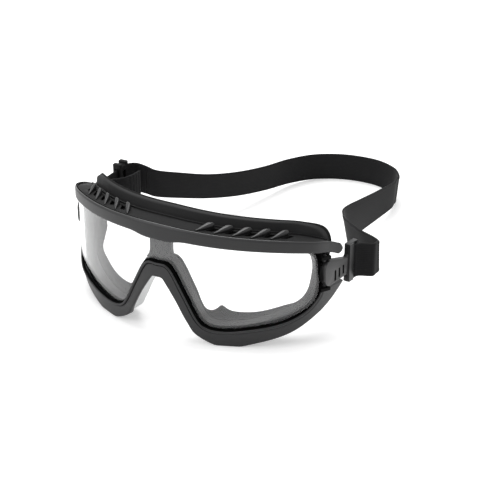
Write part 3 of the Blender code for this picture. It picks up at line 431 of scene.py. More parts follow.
def clear_finish():
    """Polycarbonate: smooth glass with faint smears; shadow rays pass straight through it."""
    material, tree, shader = new_finish("clear_lens")
    place = node(tree, "ShaderNodeTexCoord")
    effect = node(tree, "ShaderNodeGroup", node_tree=GRAIN)
    effect.inputs["Grain Scale"].default_value = 260.0
    effect.inputs["Tone Scale"].default_value = 35.0
    tree.links.new(place.outputs["Object"], effect.inputs["Position"])
    smear = node(tree, "ShaderNodeMapRange", {"Value": effect.outputs["Tone"], "From Min": 0.45,
                                              "From Max": 0.8, "To Min": 0.0, "To Max": 0.03})
    tree.links.new(smear.outputs["Result"], shader.inputs["Roughness"])
    shader.inputs["Base Color"].default_value = (0.985, 0.99, 0.99, 1.0)
    shader.inputs["Transmission Weight"].default_value = 1.0
    shader.inputs["IOR"].default_value = 1.5
    path = node(tree, "ShaderNodeLightPath")
    clear = node(tree, "ShaderNodeBsdfTransparent")
    mix = node(tree, "ShaderNodeMixShader", {"Fac": path.outputs["Is Shadow Ray"], 1: shader.outputs[0],
                                             2: clear.outputs[0]})
    tree.links.new(mix.outputs[0], tree.nodes["Material Output"].inputs["Surface"])
    return material


CLEAR_LENS = clear_finish()
print("finish:", CLEAR_LENS.name)

# %% Webbing


def woven_finish():
    """Black elastic: weave from the UV map in metres, with a soft sheen from its fibres."""
    material, tree, shader = new_finish("strap_webbing")
    uv = node(tree, "ShaderNodeUVMap", uv_map="metres")
    effect = node(tree, "ShaderNodeGroup", node_tree=WEAVE)
    tree.links.new(uv.outputs["UV"], effect.inputs["UV"])
    colour = node(tree, "ShaderNodeMix", {"Factor": effect.outputs["Shade"]}, data_type="RGBA")
    colour.inputs["A"].default_value = (0.007, 0.007, 0.0075, 1.0)
    colour.inputs["B"].default_value = (0.013, 0.013, 0.0135, 1.0)
    tree.links.new(colour.outputs["Result"], shader.inputs["Base Color"])
    bump = node(tree, "ShaderNodeBump", {"Height": effect.outputs["Height"], "Distance": 0.05 * MM,
                                         "Strength": 0.3})
    tree.links.new(bump.outputs["Normal"], shader.inputs["Normal"])
    shader.inputs["Roughness"].default_value = 0.85
    shader.inputs["Specular IOR Level"].default_value = 0.2
    shader.inputs["Sheen Weight"].default_value = 0.07
    shader.inputs["Sheen Roughness"].default_value = 0.35
    return material


WEBBING = woven_finish()
print("finish:", WEBBING.name)

# %% [markdown]
# ## Strap
# The strap is 19 mm elastic webbing. It is a flat ribbon that stands on edge, so its path is the line
# of its lower edge together with the way its upper edge leans. Its section has a thicker rolled edge
# above and below, which catches the light as a thin line. Each clip's loop goes round the rear bar of
# the clip's buckle. Rows of stitching stand out as ridges across the sewn-back end on the left.

# %% Strap section and path
STRAP_WIDTH = 19.0 * MM
STRAP_THICK = 1.4 * MM
STRAP_HALF = STRAP_THICK * 0.42
STRAP_ROLL = STRAP_THICK * 0.08     # what the rolled edges add to the half thickness
ROLL_PLACE = 1.0 * MM       # strap's edge to the middle of the roll
ROLL_WIDTH = 0.5 * MM
STRAP_BASE_Z = 27.4 * MM
ARM_OFFSET = 1.7 * MM
ARM_THICK = 2.6 * MM
LOOP_OUT = ARM_THICK / 2 + CLEAR + STRAP_THICK / 2
LOOP_END = 27.49 * MM       # pin's axis to the end of the loop, along the clip
LOOP_LEG = 4.2 * MM
LOOP_FLARE = {1: 5.4 * MM, -1: 0.0}  # how far the outer leg of each loop stands out
CLIP_SPLAY = {1: math.radians(8.0), -1: math.radians(3.5)}
HINGE = {1: frame["joints"][0]["pos_m"], -1: frame["joints"][1]["pos_m"]}


def clip_points(side, along, out):
    """Strap's lower edge at places on a clip: along its arm from the pin, and out of its plate."""
    splay = CLIP_SPLAY[side]
    along = np.asarray(along, dtype=float)
    out = ARM_OFFSET + np.asarray(out, dtype=float)
    x = HINGE[side][0] + side * (np.sin(splay) * along + np.cos(splay) * out)
    y = HINGE[side][1] + np.cos(splay) * along - np.sin(splay) * out
    flat = np.zeros_like(x)
    return np.stack([x, y, flat + STRAP_BASE_Z, flat, flat], axis=-1)


def loop_points(side):
    """U round the rear bar: inner leg, two rounded corners, outer leg."""
    centre = LOOP_END - LOOP_LEG
    bend = LOOP_OUT - ARM_THICK / 2
    turn = np.radians(np.linspace(180.0, 90.0, 9))
    along = np.concatenate([centre + bend * np.cos(turn)[::-1], centre + bend * np.cos(turn)])
    out = np.concatenate([-ARM_THICK / 2 - bend * np.sin(turn)[::-1], ARM_THICK / 2 + bend * np.sin(turn)])
    flare = LOOP_FLARE[side]
    along = [LOOP_END, *along, centre + LOOP_LEG * 0.45, LOOP_END]
    out = [-LOOP_OUT, *out, LOOP_OUT + flare * 0.3, LOOP_OUT + flare]
    return spline(clip_points(side, along, out), 3)


def route(points, leans):
    """Chosen points of the strap's lower edge and leans, in mm from the lens's front, in the frame."""
    table = np.hstack([points, leans]) * MM
    table[:, 1] += FRONT_Y
    return table


def ribbon(table, swell):
    """Ribbon's grid: across its width a, from edge to edge, its half thickness is
    h + roll exp(-((|a|-b)/c)^2), closed by a half round at each edge. A swell of 1 at a station
    makes it twice as thick there."""
    low, lean = table[:, :3], table[:, 3:5]
    rise = np.sqrt(STRAP_WIDTH ** 2 - (lean ** 2).sum(axis=1))
    up = np.column_stack([lean, rise]) / STRAP_WIDTH
    centre = low + up * STRAP_WIDTH / 2
    normal = np.cross(np.gradient(centre, axis=0), up)
    normal /= np.linalg.norm(normal, axis=1, keepdims=True)
    turn = np.radians(np.linspace(-90.0, 90.0, 9))[1:-1]
    flat = STRAP_WIDTH / 2 - STRAP_HALF
    inner = np.linspace(-1.0, 1.0, 27) * flat
    face = STRAP_HALF + STRAP_ROLL * np.exp(
        -((np.abs(inner) - STRAP_WIDTH / 2 + ROLL_PLACE) / ROLL_WIDTH) ** 2)
    edge = flat + STRAP_HALF * np.cos(turn)
    across = np.concatenate([inner, edge, inner[::-1], -edge])
    thick = np.concatenate([face, -STRAP_HALF * np.sin(turn), -face, STRAP_HALF * np.sin(turn)])
    thick = thick * (1 + np.broadcast_to(swell, len(table)))[:, None]
    grid = centre[:, None] + up[:, None] * across[None, :, None] + normal[:, None] * thick[..., None]
    grid[..., 2] = np.maximum(grid[..., 2], 0.0)
    return grid, centre


def lay_uv(grid, centre):
    """UV map in metres: the path's length along, and the way round the section across."""
    along = np.concatenate([[0.0], np.linalg.norm(np.diff(centre, axis=0), axis=1).cumsum()])
    ring = np.vstack([grid[0], grid[0, :1]])
    across = np.concatenate([[0.0], np.linalg.norm(np.diff(ring, axis=0), axis=1).cumsum()])
    rows, columns = len(along) - 1, len(across) - 1
    row, column = np.arange(rows)[:, None, None], np.arange(columns)[None, :, None]
    u = along[row + np.array([0, 0, 1, 1])] + 0.0 * column
    v = across[column + np.array([0, 1, 1, 0])] + 0.0 * row
    quads = np.stack([u, v], axis=-1).reshape(-1, 2)
    return np.concatenate([quads, np.zeros((2 * columns, 2))])


def strap_piece(name, table, swell=0.0):
    """A stretch of strap with its woven finish, and the line of its middle."""
    grid, centre = ribbon(table, swell)
    mesh = bpy.data.meshes.new(name)
    mesh.from_pydata(grid.reshape(-1, 3).tolist(), [], grid_faces(*grid.shape[:2], closed=False))
    layer = mesh.uv_layers.new(name="metres")
    layer.data.foreach_set("uv", lay_uv(grid, centre).ravel())
    finish_mesh(mesh, sharp=60.0)
    return add_piece(name, mesh, [WEBBING]), centre


# %% Right run: loop, two loose folds and the way to the back
ROUTE_RIGHT = [(89.2, 71.0, 26.8), (88.4, 76.2, 26.1), (84.4, 81.2, 25.6), (75.4, 88.6, 24.2),
               (63.4, 98.6, 22.0), (56.4, 106.6, 19.9), (52.0, 117.0, 18.2), (46.0, 145.0, 11.6),
               (41.4, 175.0, 5.6), (38.4, 201.0, 1.6)]
LEAN_RIGHT = [(0.2, -0.8), (0.2, -2.2), (-1.6, -2.8), (-4.4, -2.2), (-6.8, 1.4), (-6.6, 4.8), (-6.6, 5.0),
              (-2.8, 1.8), (0.0, 0.2), (2.0, -1.0)]
JOIN_BACK = route([(36.5, 209.5, 0.8)], [(2.2, -1.2)])
JOIN_LEFT = route([(-71.8, 96.8, 27.4)], [(2.0, -2.2)])

right_out = LOOP_OUT + LOOP_FLARE[1]
right_start = clip_points(1, [LOOP_END, LOOP_END + STRAP_THICK], [right_out, right_out + STRAP_THICK])
right_run = spline(np.vstack([right_start, route(ROUTE_RIGHT, LEAN_RIGHT), JOIN_BACK]), FINE)
right_table = np.vstack([loop_points(1)[:-1], right_run])
webbing_right, right_middle = strap_piece("webbing_right", right_table)
stand_for(webbing_right, None, "webbing", "strap_loop_right", "strap_right")
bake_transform(webbing_right)


def path_length(line):
    """Length of a line of points."""
    return float(np.linalg.norm(np.diff(line, axis=0), axis=1).sum())


print("right run with its loop", round(path_length(right_middle), 3), "m")

# %% Back run
ROUTE_BACK = [(34.8, 216.0, 0.4), (27.0, 226.5, 0.2), (12.0, 233.5, 0.1), (-8.0, 232.0, 0.1),
              (-25.0, 222.5, 0.3), (-35.0, 205.0, 1.6), (-40.0, 182.0, 4.4), (-45.5, 158.0, 8.6),
              (-53.0, 135.0, 14.0), (-60.5, 113.0, 21.0), (-66.5, 99.5, 25.6)]
LEAN_BACK = [(2.4, -1.4), (2.0, -1.8), (1.4, -2.4), (1.0, -2.9), (1.2, -3.2), (1.6, -3.6),
             (2.2, -4.2), (2.7, -4.4), (3.1, -4.5), (2.9, -3.6), (2.6, -3.0)]

back_table = spline(np.vstack([JOIN_BACK, route(ROUTE_BACK, LEAN_BACK), JOIN_LEFT]), FINE)
webbing_back, back_middle = strap_piece("webbing_back", back_table)
stand_for(webbing_back, None, "webbing", "strap_back")
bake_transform(webbing_back)
print("back run", round(path_length(back_middle), 3), "m")

# %% Left run: sewn-back end, loop, straight stretch and corner
LEFT_RUN = 23.4 * MM
RIDGE_PITCH = 2.4 * MM
RIDGE_COUNT = 4
RIDGE_SWELL = 0.5
ROUTE_CORNER = [(-81.3, 93.0, 27.4), (-79.0, 95.6, 27.5), (-75.8, 96.6, 27.6)]
LEAN_CORNER = [(0.1, -0.2), (0.5, -0.6), (1.2, -1.4)]
ROUTE_END = [(-74.2, 70.6, 27.4), (-71.0, 75.4, 27.4), (-69.7, 80.8, 27.5), (-69.5, 86.4, 27.6)]

end_start = clip_points(-1, [LOOP_END, LOOP_END + STRAP_THICK], [-LOOP_OUT, -LOOP_OUT])
left_end = spline(np.vstack([end_start, route(ROUTE_END, np.zeros((len(ROUTE_END), 2)))]), FINE)
straight = clip_points(-1, LOOP_END + LEFT_RUN * np.linspace(0.0, 1.0, 9), [LOOP_OUT] * 9)
corner = spline(np.vstack([straight[-1:], route(ROUTE_CORNER, LEAN_CORNER), JOIN_LEFT]), FINE)
left_table = np.vstack([left_end[:0:-1], loop_points(-1), straight[1:-1], corner])
end_reach = np.linalg.norm(left_table[:, :3] - left_table[0, :3], axis=1)
ridges = RIDGE_SWELL * np.sin(np.pi * end_reach / RIDGE_PITCH) ** 2
ridges[end_reach >= RIDGE_COUNT * RIDGE_PITCH] = 0.0
ridges[len(left_end):] = 0.0
webbing_left, left_middle = strap_piece("webbing_left", left_table, ridges)
stand_for(webbing_left, "clip_left", "webbing", "strap_loop_left", "strap_left", "strap_end")
print("left run", round(path_length(left_middle), 3), "m")

# %% [markdown]
# ## Lens
# The lens is one sheet of even thickness. Its grid runs from the lower edge to the upper one on the
# front face and back down on the rear face, so the profile closes round the edges. Its rim strips and
# end caps are painted near black as the shade of the gap it sits in.

# %% Make the lens
LENS_THICK = 2.2 * MM
LENS_ROWS = 13              # points up each face
lower_line = spline(LOWER, FINE)
upper_all = spline(UPPER, FINE)
share = np.linspace(0.0, 1.0, len(lower_line))
upper_share = np.linspace(0.0, 1.0, len(upper_all))
upper_line = np.column_stack([np.interp(share, upper_share, upper_all[:, axis]) for axis in (0, 1)])
climb = np.linspace(0.0, 1.0, LENS_ROWS)[:, None, None]
lens_face = lower_line + (upper_line - lower_line) * climb
lens_front = wrap(lens_face[..., 0], lens_face[..., 1], 0.0)
lens_back = wrap(lens_face[::-1, :, 0], lens_face[::-1, :, 1], -LENS_THICK)
lens_grid = np.concatenate([lens_front, lens_back]).transpose(1, 0, 2)
# The rim strips and end caps are painted near black as the gap's shade, which hides the glass edge's
# bright refraction.
lens_rim_shade = (np.arange(2 * LENS_ROWS) % LENS_ROWS == LENS_ROWS - 1).astype(np.int32)
visor = skin("clear_visor", [lens_grid], [CLEAR_LENS, SHADOW_GAP], bands=lens_rim_shade)
for cap in (-2, -1):
    visor.data.polygons[cap].material_index = 1
stand_for(visor, "frame", "lens", "lens")

# %% [markdown]
# ## Brow bar
# The bar over the lens is a moulding with a bevelled top edge, painted lighter along its length as a
# highlight, and a strip behind it painted near black as shade. Its profile is drawn in shares of its
# height and thickness, so it can taper to both ends.

# %% Make the brow bar
BAR_THICK = 2.4 * MM
BAR_END_FRONT = 0.24 * MM   # what is left of that thickness at the ends
RELIEF_END = 92.0 * MM
BAR_TUCK = 3.5 * MM         # how far the bar draws back at the temples
TUCK_START = 80.0 * MM
TUCK_LENGTH = 20.0 * MM
TIP_FALL = 0.3              # share of the top edge's fall that the rounded tips follow
BAR_HEEL = 1.6 * MM
BAR_HEIGHT = 7.5 * MM
BAR_END_HEIGHT = 6.2 * MM
NOSE_DIP = 1.8 * MM
NOSE_DIP_HALF = 12.0 * MM


def bar_height(s):
    """Height of the bar: an even taper to the temples, and a dip exp(-(s/w)^4) over the nose."""
    taper = BAR_HEIGHT + (BAR_END_HEIGHT - BAR_HEIGHT) * np.abs(s) / BAR_HALF
    return taper + NOSE_DIP * np.exp(-(s / NOSE_DIP_HALF) ** 4)


def temple_share(s, start, length):
    """Smooth step 3x^2 - 2x^3 from 0 to 1 along the lens, the same at both temples."""
    x = np.clip((np.abs(s) - start) / length, 0.0, 1.0)
    return x ** 2 * (3 - 2 * x)


end_radius = BAR_END_HEIGHT / 2
turn = np.radians(np.linspace(6.0, 86.0, 15))
tip = BAR_HALF - end_radius + end_radius * np.sin(turn)
inner = np.linspace(-1.0, 1.0, 181) * (BAR_HALF - end_radius)
bar_s = np.concatenate([-tip[::-1], inner, tip])
squeeze = np.concatenate([np.cos(turn)[::-1], np.ones(len(inner)), np.cos(turn)])
bar_half = bar_height(bar_s) / 2
bar_reach = np.clip(bar_s, inner[0], inner[-1])
bar_middle = bar_top(bar_reach + TIP_FALL * (bar_s - bar_reach)) - bar_half
bar_tuck = temple_share(bar_s, TUCK_START, TUCK_LENGTH)
bar_relief = BAR_THICK + (BAR_END_FRONT - BAR_THICK) * np.minimum(np.abs(bar_s) / RELIEF_END, 1.0) ** 5
bar_front = CLEAR + bar_relief - BAR_TUCK * bar_tuck
bar_back = CLEAR - (BAR_TUCK + BAR_HEEL) * bar_tuck
bar_thick = bar_front - bar_back
BAR_PROFILE = [(0.0, -1.0), (0.8, -1.0), (1.0, -0.8), (1.0, 0.7), (0.66, 1.0), (0.5, 0.98), (0.0, 0.9)]
BAR_ROUND = np.array([0.2, 0.5, 0.8, 0.4, 0.3, 0.1, 0.1]) * MM
# After each corner: plain plastic (0), painted shade (1) or painted highlight (2), out to RELIEF_END.
BAR_STRIP_LIGHT = np.array([0, 0, 0, 0, 2, 1, 0], dtype=np.int32)    # finish after each corner
bar_corners = [wrap(bar_s, bar_middle + bar_half * squeeze * v, bar_back + bar_thick * n)
               for n, v in BAR_PROFILE]
bar_grid = rounded(bar_corners, BAR_ROUND).transpose(1, 0, 2)
bar_bands = np.tile(np.repeat(BAR_STRIP_LIGHT, ROUND_POINTS), (len(bar_s) - 1, 1))
bar_bands[np.abs(bar_s[:-1]) > RELIEF_END] = 0
brow = skin("brow_moulding", [bar_grid], [PLASTIC, SHADOW_GAP, EDGE_HIGHLIGHT], bands=bar_bands.ravel())
stand_for(brow, "frame", "frame_black", "brow_bar")

# %% [markdown]
# ## Lower bezel
# The rim under the eyes and over the nose starts beside the lens with a narrow gap, painted near black
# as shade, then a thin bead, a fine groove and a broad sloping face that ends at the outer edge. Every
# point of the profile is an offset from the lens's edge towards the bezel's outer edge, with a height
# out of the lens.

# %% Make the lower bezel
HUB_LOW = 30.0 * MM
LUG_THICK = 1.7 * MM
GROOVE_OUT = 2.8 * MM       # bead's start to the groove's outer side
FACE_OUT = 3.4 * MM         # bead's start to the sloping face
BEZEL_HEEL = 3.5 * MM       # lens's edge to the step in the bezel's back
FACE_SHARE = 0.48           # height of the groove's outer side beside the bead's
# Outer edge (s, z), height of its front edge, thickness there, and the bead's start, foot and height
BEZEL_TABLE = np.array([(0, 34.3, 2.2, 1.9, -0.9, 0.3, 2.3), (2.7, 34.1, 2.2, 1.9, -0.9, 0.3, 2.3),
                        (4.4, 32.2, 2.2, 1.9, -0.9, 0.3, 2.3), (10.2, 23.2, 2.2, 1.9, -0.9, 0.3, 2.3),
                        (16.4, 12.0, 2.2, 2.4, -0.9, 0.3, 2.3), (22.0, 4.6, 1.8, 5.0, -0.9, 0.3, 2.3),
                        (36, -0.9, 1.0, 7.5, -0.9, 0.3, 2.3), (52.6, 2.0, 0.5, 7.0, -0.9, 0.3, 2.3),
                        (69.5, 6.6, -0.5, 6.0, 0.4, 0.3, 2.0), (84, 13.0, -2.5, 4.6, 0.4, -1.2, 0.5),
                        (94.5, 18.5, -4.0, 4.0, 0.4, -1.6, -0.2),
                        (107.0, 27.2, -5.0, 4.0, 0.4, -1.6, -0.2)]) * MM
bezel_end = (LENS_END - CLEAR, HUB_LOW - LUG_THICK - 2 * CLEAR)
edge_line = spline(mirrored(np.vstack([LENS_EDGE, [bezel_end]])), FINE)
bezel_all = np.vstack([BEZEL_TABLE[:0:-1] * (-1, 1, 1, 1, 1, 1, 1), BEZEL_TABLE])
rim_s, rim_z, rim_front, rim_thick, bead_start, bead_foot, bead_top = spline(bezel_all, FINE).T
across = np.column_stack([rim_s, rim_z]) - edge_line
rim_offset = np.linalg.norm(across, axis=1)
across /= rim_offset[:, None]
bead = bead_top - bead_foot


def bezel_corner(offset, n):
    """Corner of the bezel's section, kept above the table."""
    place = edge_line + across * np.broadcast_to(offset, len(edge_line))[:, None]
    return wrap(place[:, 0], np.maximum(place[:, 1], 0.0), n)


face_n = bead_foot + FACE_SHARE * bead
face_n = face_n + 0.5 * np.maximum(rim_front - face_n, 0.0)
BEAD_PROFILE = [(0.0, 0.0), (0.0, 0.12), (0.75, 0.15), (0.95, 0.85), (1.5, 1.0), (2.1, 0.8), (2.4, 0.36)]
bezel_corners = [bezel_corner(bead_start + a * MM, bead_foot + bead * h) for a, h in BEAD_PROFILE]
rim_back = rim_front - rim_thick
BEZEL_REST = [(bead_start + GROOVE_OUT, face_n), (bead_start + FACE_OUT, face_n), (rim_offset, rim_front),
              (rim_offset, rim_back), (BEZEL_HEEL, rim_back), (BEZEL_HEEL, -LENS_THICK),
              (CLEAR, -LENS_THICK), (CLEAR, bead_foot)]
bezel_corners += [bezel_corner(offset, n) for offset, n in BEZEL_REST]
BEZEL_ROUND = np.array([0.1, 0.1, 0.2, 0.3, 0.4, 0.3, 0.2, 0.2, 0.4, 0.9, 0.6, 0.3, 0.3, 0.2, 0.1]) * MM
bezel_grid = rounded(bezel_corners, BEZEL_ROUND).transpose(1, 0, 2)
# The strips in the gap are painted near black as shade.
GAP_CORNERS = 3             # corners of the profile that lie in the gap beside the lens
gap_shade_strips = (np.arange(bezel_grid.shape[1]) < GAP_CORNERS * ROUND_POINTS).astype(np.int32)
bezel = skin("lower_bezel_moulding", [bezel_grid], [PLASTIC, SHADOW_GAP], bands=gap_shade_strips)
stand_for(bezel, "frame", "frame_black", "lower_bezel")

# %% [markdown]
# ## Ring behind the lens and face seal
# Behind the lens a ring of shell carries the soft face seal. Both follow the lens's outline, with
# offsets that change from region to region: nose, cheek, temple, side, upper corner and brow. The seal
# rises behind the louvres as a flange with a dark top, flares at the cheeks and ends in a lip that turns
# in, furthest beside the nose.

# %% Make the shell ring
SHELL_OUT = 2.6 * MM
SHELL_OUT_TOP = 0.4 * MM
SHELL_FRONT = LENS_THICK + CLEAR
SHELL_BACK = SHELL_FRONT + 6.0 * MM


def region(nose, cheek, temple, side, corner, brow):
    """A value for every station, drawn smoothly through those of the outline's six regions. The cheek
    and the temple take one value, or one for each of their points."""
    half = [nose] * 5 + [*np.broadcast_to(cheek, len(LENS_EDGE) - 6)] + [*np.broadcast_to(temple, 2)]
    upper_half = [brow] * len(UPPER_S) + [corner]
    values = half[:0:-1] + half + [side] + upper_half[:0:-1] + upper_half + [side]
    return spline(np.array(values)[:, None], FINE, closed=True)[:, 0]


def ring_corner(offset, depth, straight=1.0):
    """Corner line round the lens: an offset out of its edge and a depth behind it, which runs square to
    the lens as far as the straight depth and from there straight back, along +Y."""
    place = RING + RING_OUT * np.broadcast_to(offset, len(RING))[:, None]
    line = wrap(place[:, 0], place[:, 1], -np.minimum(depth, straight))
    line[:, 1] += np.maximum(depth - straight, 0.0)
    return line


shell_out = region(SHELL_OUT, SHELL_OUT, *[SHELL_OUT_TOP] * 4)
shell_lap = region(1.6, 1.6, (1.8, 0.8), 0.6, 1.6, 1.6) * MM
shell_corners = [ring_corner(-shell_lap, SHELL_FRONT), ring_corner(shell_out, SHELL_FRONT),
                 ring_corner(shell_out, SHELL_BACK), ring_corner(-shell_lap, SHELL_BACK)]
shell = skin("shell_ring", [rounded(shell_corners, 0.4 * MM).transpose(1, 0, 2)], [PLASTIC], closed=True)
stand_for(shell, "frame", "frame_black", "frame_shell")

# %% Make the face seal
SEAL_FRONT = SHELL_BACK + CLEAR / 10
SEAL_DEPTH = 19.5 * MM
SEAL_FLARE = 3.4 * MM
FLANGE = LENS_INSET + 2.6 * MM
FLANGE_CORNER = 9.5 * MM
FLANGE_SIDE = 7.5 * MM
FLANGE_LEAN = 0.7 * MM
CHANNEL = 0.45              # shares of the seal's length: channel, flange's rise, back edge and lip
FLANGE_SHARE = 0.13
BACK_SHARE = 0.12
LIP_SHARE = 0.14
SEAL_STEPS = 5
SEAL_DARK = range(27, 36)   # strips from the middle of the flange's top to the lip
seal_out = region(SHELL_OUT, SHELL_OUT, *[SHELL_OUT_TOP] * 3, 0.0)
seal_depth = region(11.5 * MM, 15.0 * MM, *[SEAL_DEPTH] * 4)
seal_length = seal_depth - SEAL_FRONT
channel = SEAL_FRONT + seal_length * region(CHANNEL, CHANNEL, CHANNEL, CHANNEL / 2, 0.12, CHANNEL)
flare = region(SHELL_OUT, SEAL_FLARE, SEAL_FLARE, FLANGE_SIDE, FLANGE_CORNER, FLANGE)
behind = region(SHELL_OUT, SEAL_FLARE, SEAL_FLARE, FLANGE_SIDE, FLANGE_CORNER, FLANGE + FLANGE_LEAN)
lip = region(0.8, (6.5, 4.4, 2.8, 2.0, 0.8), (4.6, 4.4), 4.4, 3.4, 3.0) * MM
SEAL_SECTION = [(-shell_lap, SEAL_FRONT), (seal_out, SEAL_FRONT), (seal_out, channel),
                (flare, channel + FLANGE_SHARE * seal_length),
                ((flare + behind) / 2, (channel + seal_depth) / 2),
                (behind, seal_depth - BACK_SHARE * seal_length),
                (-lip, seal_depth), (-lip, seal_depth - LIP_SHARE * seal_length),
                (-shell_lap, SEAL_FRONT + 0.5 * seal_length)]
seal_corners = [ring_corner(offset, depth, SEAL_FRONT) for offset, depth in SEAL_SECTION]
seal_round = np.array([0.3, 0.4, 0.8, 0.7, 0.3, 1.2, 0.7, 0.7, 0.8]) * MM
seal_grid = rounded(seal_corners, seal_round, SEAL_STEPS).transpose(1, 0, 2)
# The flange's top, from its middle to the lip, takes the near-black colour.
seal_dark = np.isin(np.arange(seal_grid.shape[1]), SEAL_DARK).astype(np.int32)
seal = skin("seal_skirt", [seal_grid], [RUBBER, NEAR_BLACK], closed=True, bands=seal_dark)
stand_for(seal, "frame", "seal_rubber", "face_seal")

# %% [markdown]
# ## Bridge post, nose saddle and louvres
# The post behind the lens is waisted and flares into the arch. The saddle under the arch is a thin pale
# strip that follows the nose's cut. The louvres are slanted blades, low in front and rising to a
# rounded nose at the back, on a low dark rail.

# %% Make the bridge post
POST_WAIST = 6.2 * MM
POST_FLARE = 2.6 * MM
POST_DEPTH = 4.0 * MM
post_foot = LENS_EDGE[0][1] + CLEAR
post_top = lens_top(0.0) - CLEAR
post_t = np.linspace(0.0, 1.0, 25)
post_z = post_foot + (post_top - post_foot) * post_t
post_half = POST_WAIST + POST_FLARE * np.abs(2 * post_t - 1) ** 4
post_corners = [wrap(side * post_half, post_z, -SHELL_FRONT - deep) for side, deep in
                ((-1, 0.0), (1, 0.0), (1, POST_DEPTH), (-1, POST_DEPTH))]
post = skin("bridge_column", [rounded(post_corners, 0.5 * MM).transpose(1, 0, 2)], [PLASTIC])
stand_for(post, "frame", "frame_black", "bridge_post")

# %% Make the nose saddle
PAD_INSET = 0.5 * MM
PAD_THICK = 1.1 * MM
PAD_WEB = 2.4 * MM
PAD_DEPTH = 10.4 * MM
PAD_SPREAD = 1.2 * MM
PAD_INNER = 3.8 * MM        # lens's edge to the saddle's root
pad_first = (len(LENS_EDGE) - 4) * FINE - FINE // 2
pad_chain = slice(pad_first, len(edge_line) - pad_first)
pad_top = rim_back - CLEAR
pad_outer = rim_offset - PAD_INSET
PAD_SECTION = [(PAD_INNER, pad_top), (pad_outer, pad_top), (pad_outer - PAD_SPREAD / 2, -PAD_DEPTH * 0.8),
               (pad_outer - PAD_SPREAD, -PAD_DEPTH), (pad_outer - PAD_SPREAD - PAD_THICK, -PAD_DEPTH),
               (pad_outer - PAD_SPREAD / 2 - PAD_THICK * 1.4, pad_top - PAD_WEB),
               (PAD_INNER, pad_top - PAD_WEB)]
pad_corners = [bezel_corner(offset, n)[pad_chain] for offset, n in PAD_SECTION]
saddle = skin("nose_saddle", [rounded(pad_corners, 0.3 * MM).transpose(1, 0, 2)], [SILICONE])
stand_for(saddle, "frame", "nose_silicone", "nose_pad")

# %% Make the louvres
DECK_BELOW = 1.0 * MM
DECK_DEPTH = 10.0 * MM
DECK_BEAD = 0.8 * MM
FIN_COUNT = 5
FIN_FIRST = 21.0 * MM
FIN_PITCH = 9.6 * MM
FIN_THICK = 4.3 * MM
FIN_RISE = (0.6 * MM, 3.2 * MM)
FIN_FRONT = 1.4 * MM
FIN_SPLAY = 7.2 * MM
FIN_GROWTH = 0.1            # each blade slants that share further than the first
FIN_STATIONS = np.array([(0.0, 0.2, 0.0), (0.3, 0.55, 0.35), (0.6, 0.9, 0.75), (0.85, 1.0, 1.0),
                         (1.0, 0.55, 0.75)])
FIN_SECTION = [(-1.0, 0.0), (1.0, 0.0), (1.0, 0.6), (0.62, 1.0), (-0.62, 1.0), (-1.0, 0.6)]


def fin_grid(side, index):
    """One blade: its width and height follow a curve through five stations from front to back."""
    t, width, height = spline(FIN_STATIONS, 6).T
    s = side * (FIN_FIRST + FIN_PITCH * index + FIN_SPLAY * (1 + FIN_GROWTH * index) * t)
    n = -FIN_FRONT - (DECK_DEPTH - FIN_FRONT - DECK_BEAD - 2 * CLEAR) * t
    rise = FIN_RISE[0] + (FIN_RISE[1] - FIN_RISE[0]) * height
    base = bar_top(s) - DECK_BELOW - CLEAR / 2
    corners = [wrap(s + FIN_THICK / 2 * width * w, base + rise * h, n) for w, h in FIN_SECTION]
    return rounded(corners, 0.55 * MM).transpose(1, 0, 2)


def rail_grid(side):
    """Low rail that joins the blades' back ends."""
    last = FIN_FIRST + FIN_PITCH * (FIN_COUNT - 1) + FIN_SPLAY
    s = side * np.linspace(FIN_FIRST + FIN_SPLAY * 0.7, last, 60)
    base = bar_top(s) - DECK_BELOW
    back = -DECK_DEPTH + DECK_BEAD + 3 * CLEAR
    corners = [wrap(s, base + CLEAR / 2 * up, back + FIN_THICK / 4 * out) for out, up in
               ((0, 0), (1, 0), (1, 1), (0, 1))]
    return rounded(corners, 0.15 * MM).transpose(1, 0, 2)


for side, word in ((1, "right"), (-1, "left")):
    grids = [fin_grid(side, index) for index in range(FIN_COUNT)] + [rail_grid(side)]
    # The blades take the lighter glossy plastic, a painted highlight on their tops.
    blades = skin("louvre_blades_" + word, grids, [GLOSSY_LIGHTER_PLASTIC, NEAR_BLACK])
    # The rail is painted near black as the shade of the vents, so the blades stand apart.
    rail_rows, rail_columns = grids[-1].shape[:2]
    for face in blades.data.polygons[-(rail_rows - 1) * rail_columns - 2:]:
        face.material_index = 1
    stand_for(blades, "frame", "frame_black", "vent_louvres_" + word)

# %% [markdown]
# ## Mouldings with softened edges
# The deck, brackets, clips, pins and slider are already the right shape, but no moulded edge is
# perfectly sharp. A copy of each solid has its loose triangles merged, its flat faces joined, and a
# small bevel on every edge that is still sharp, so that each edge catches a thin highlight.

# %% Soften the small mouldings
SAME_PLACE = 0.005 * MM
SAME_PLANE = math.radians(1.0)
SHARP_EDGE = math.radians(28.0)


def softened(name, node_name, width, material):
    """Copy of a solid with a bevel of the given width on its sharp edges."""
    shape = bmesh.new()
    shape.from_mesh(frame["nodes"][node_name].data)
    bmesh.ops.remove_doubles(shape, verts=shape.verts, dist=SAME_PLACE)
    bmesh.ops.dissolve_limit(shape, angle_limit=SAME_PLANE, verts=shape.verts, edges=shape.edges)
    mesh = bpy.data.meshes.new(name)
    shape.to_mesh(mesh)
    shape.free()
    mesh.shade_smooth()
    piece = add_piece(name, mesh, [material])
    bevel = piece.modifiers.new("soft_edges", "BEVEL")
    bevel.width = width
    bevel.segments = 3
    bevel.limit_method = "ANGLE"
    bevel.angle_limit = SHARP_EDGE
    bevel.harden_normals = True
    return piece


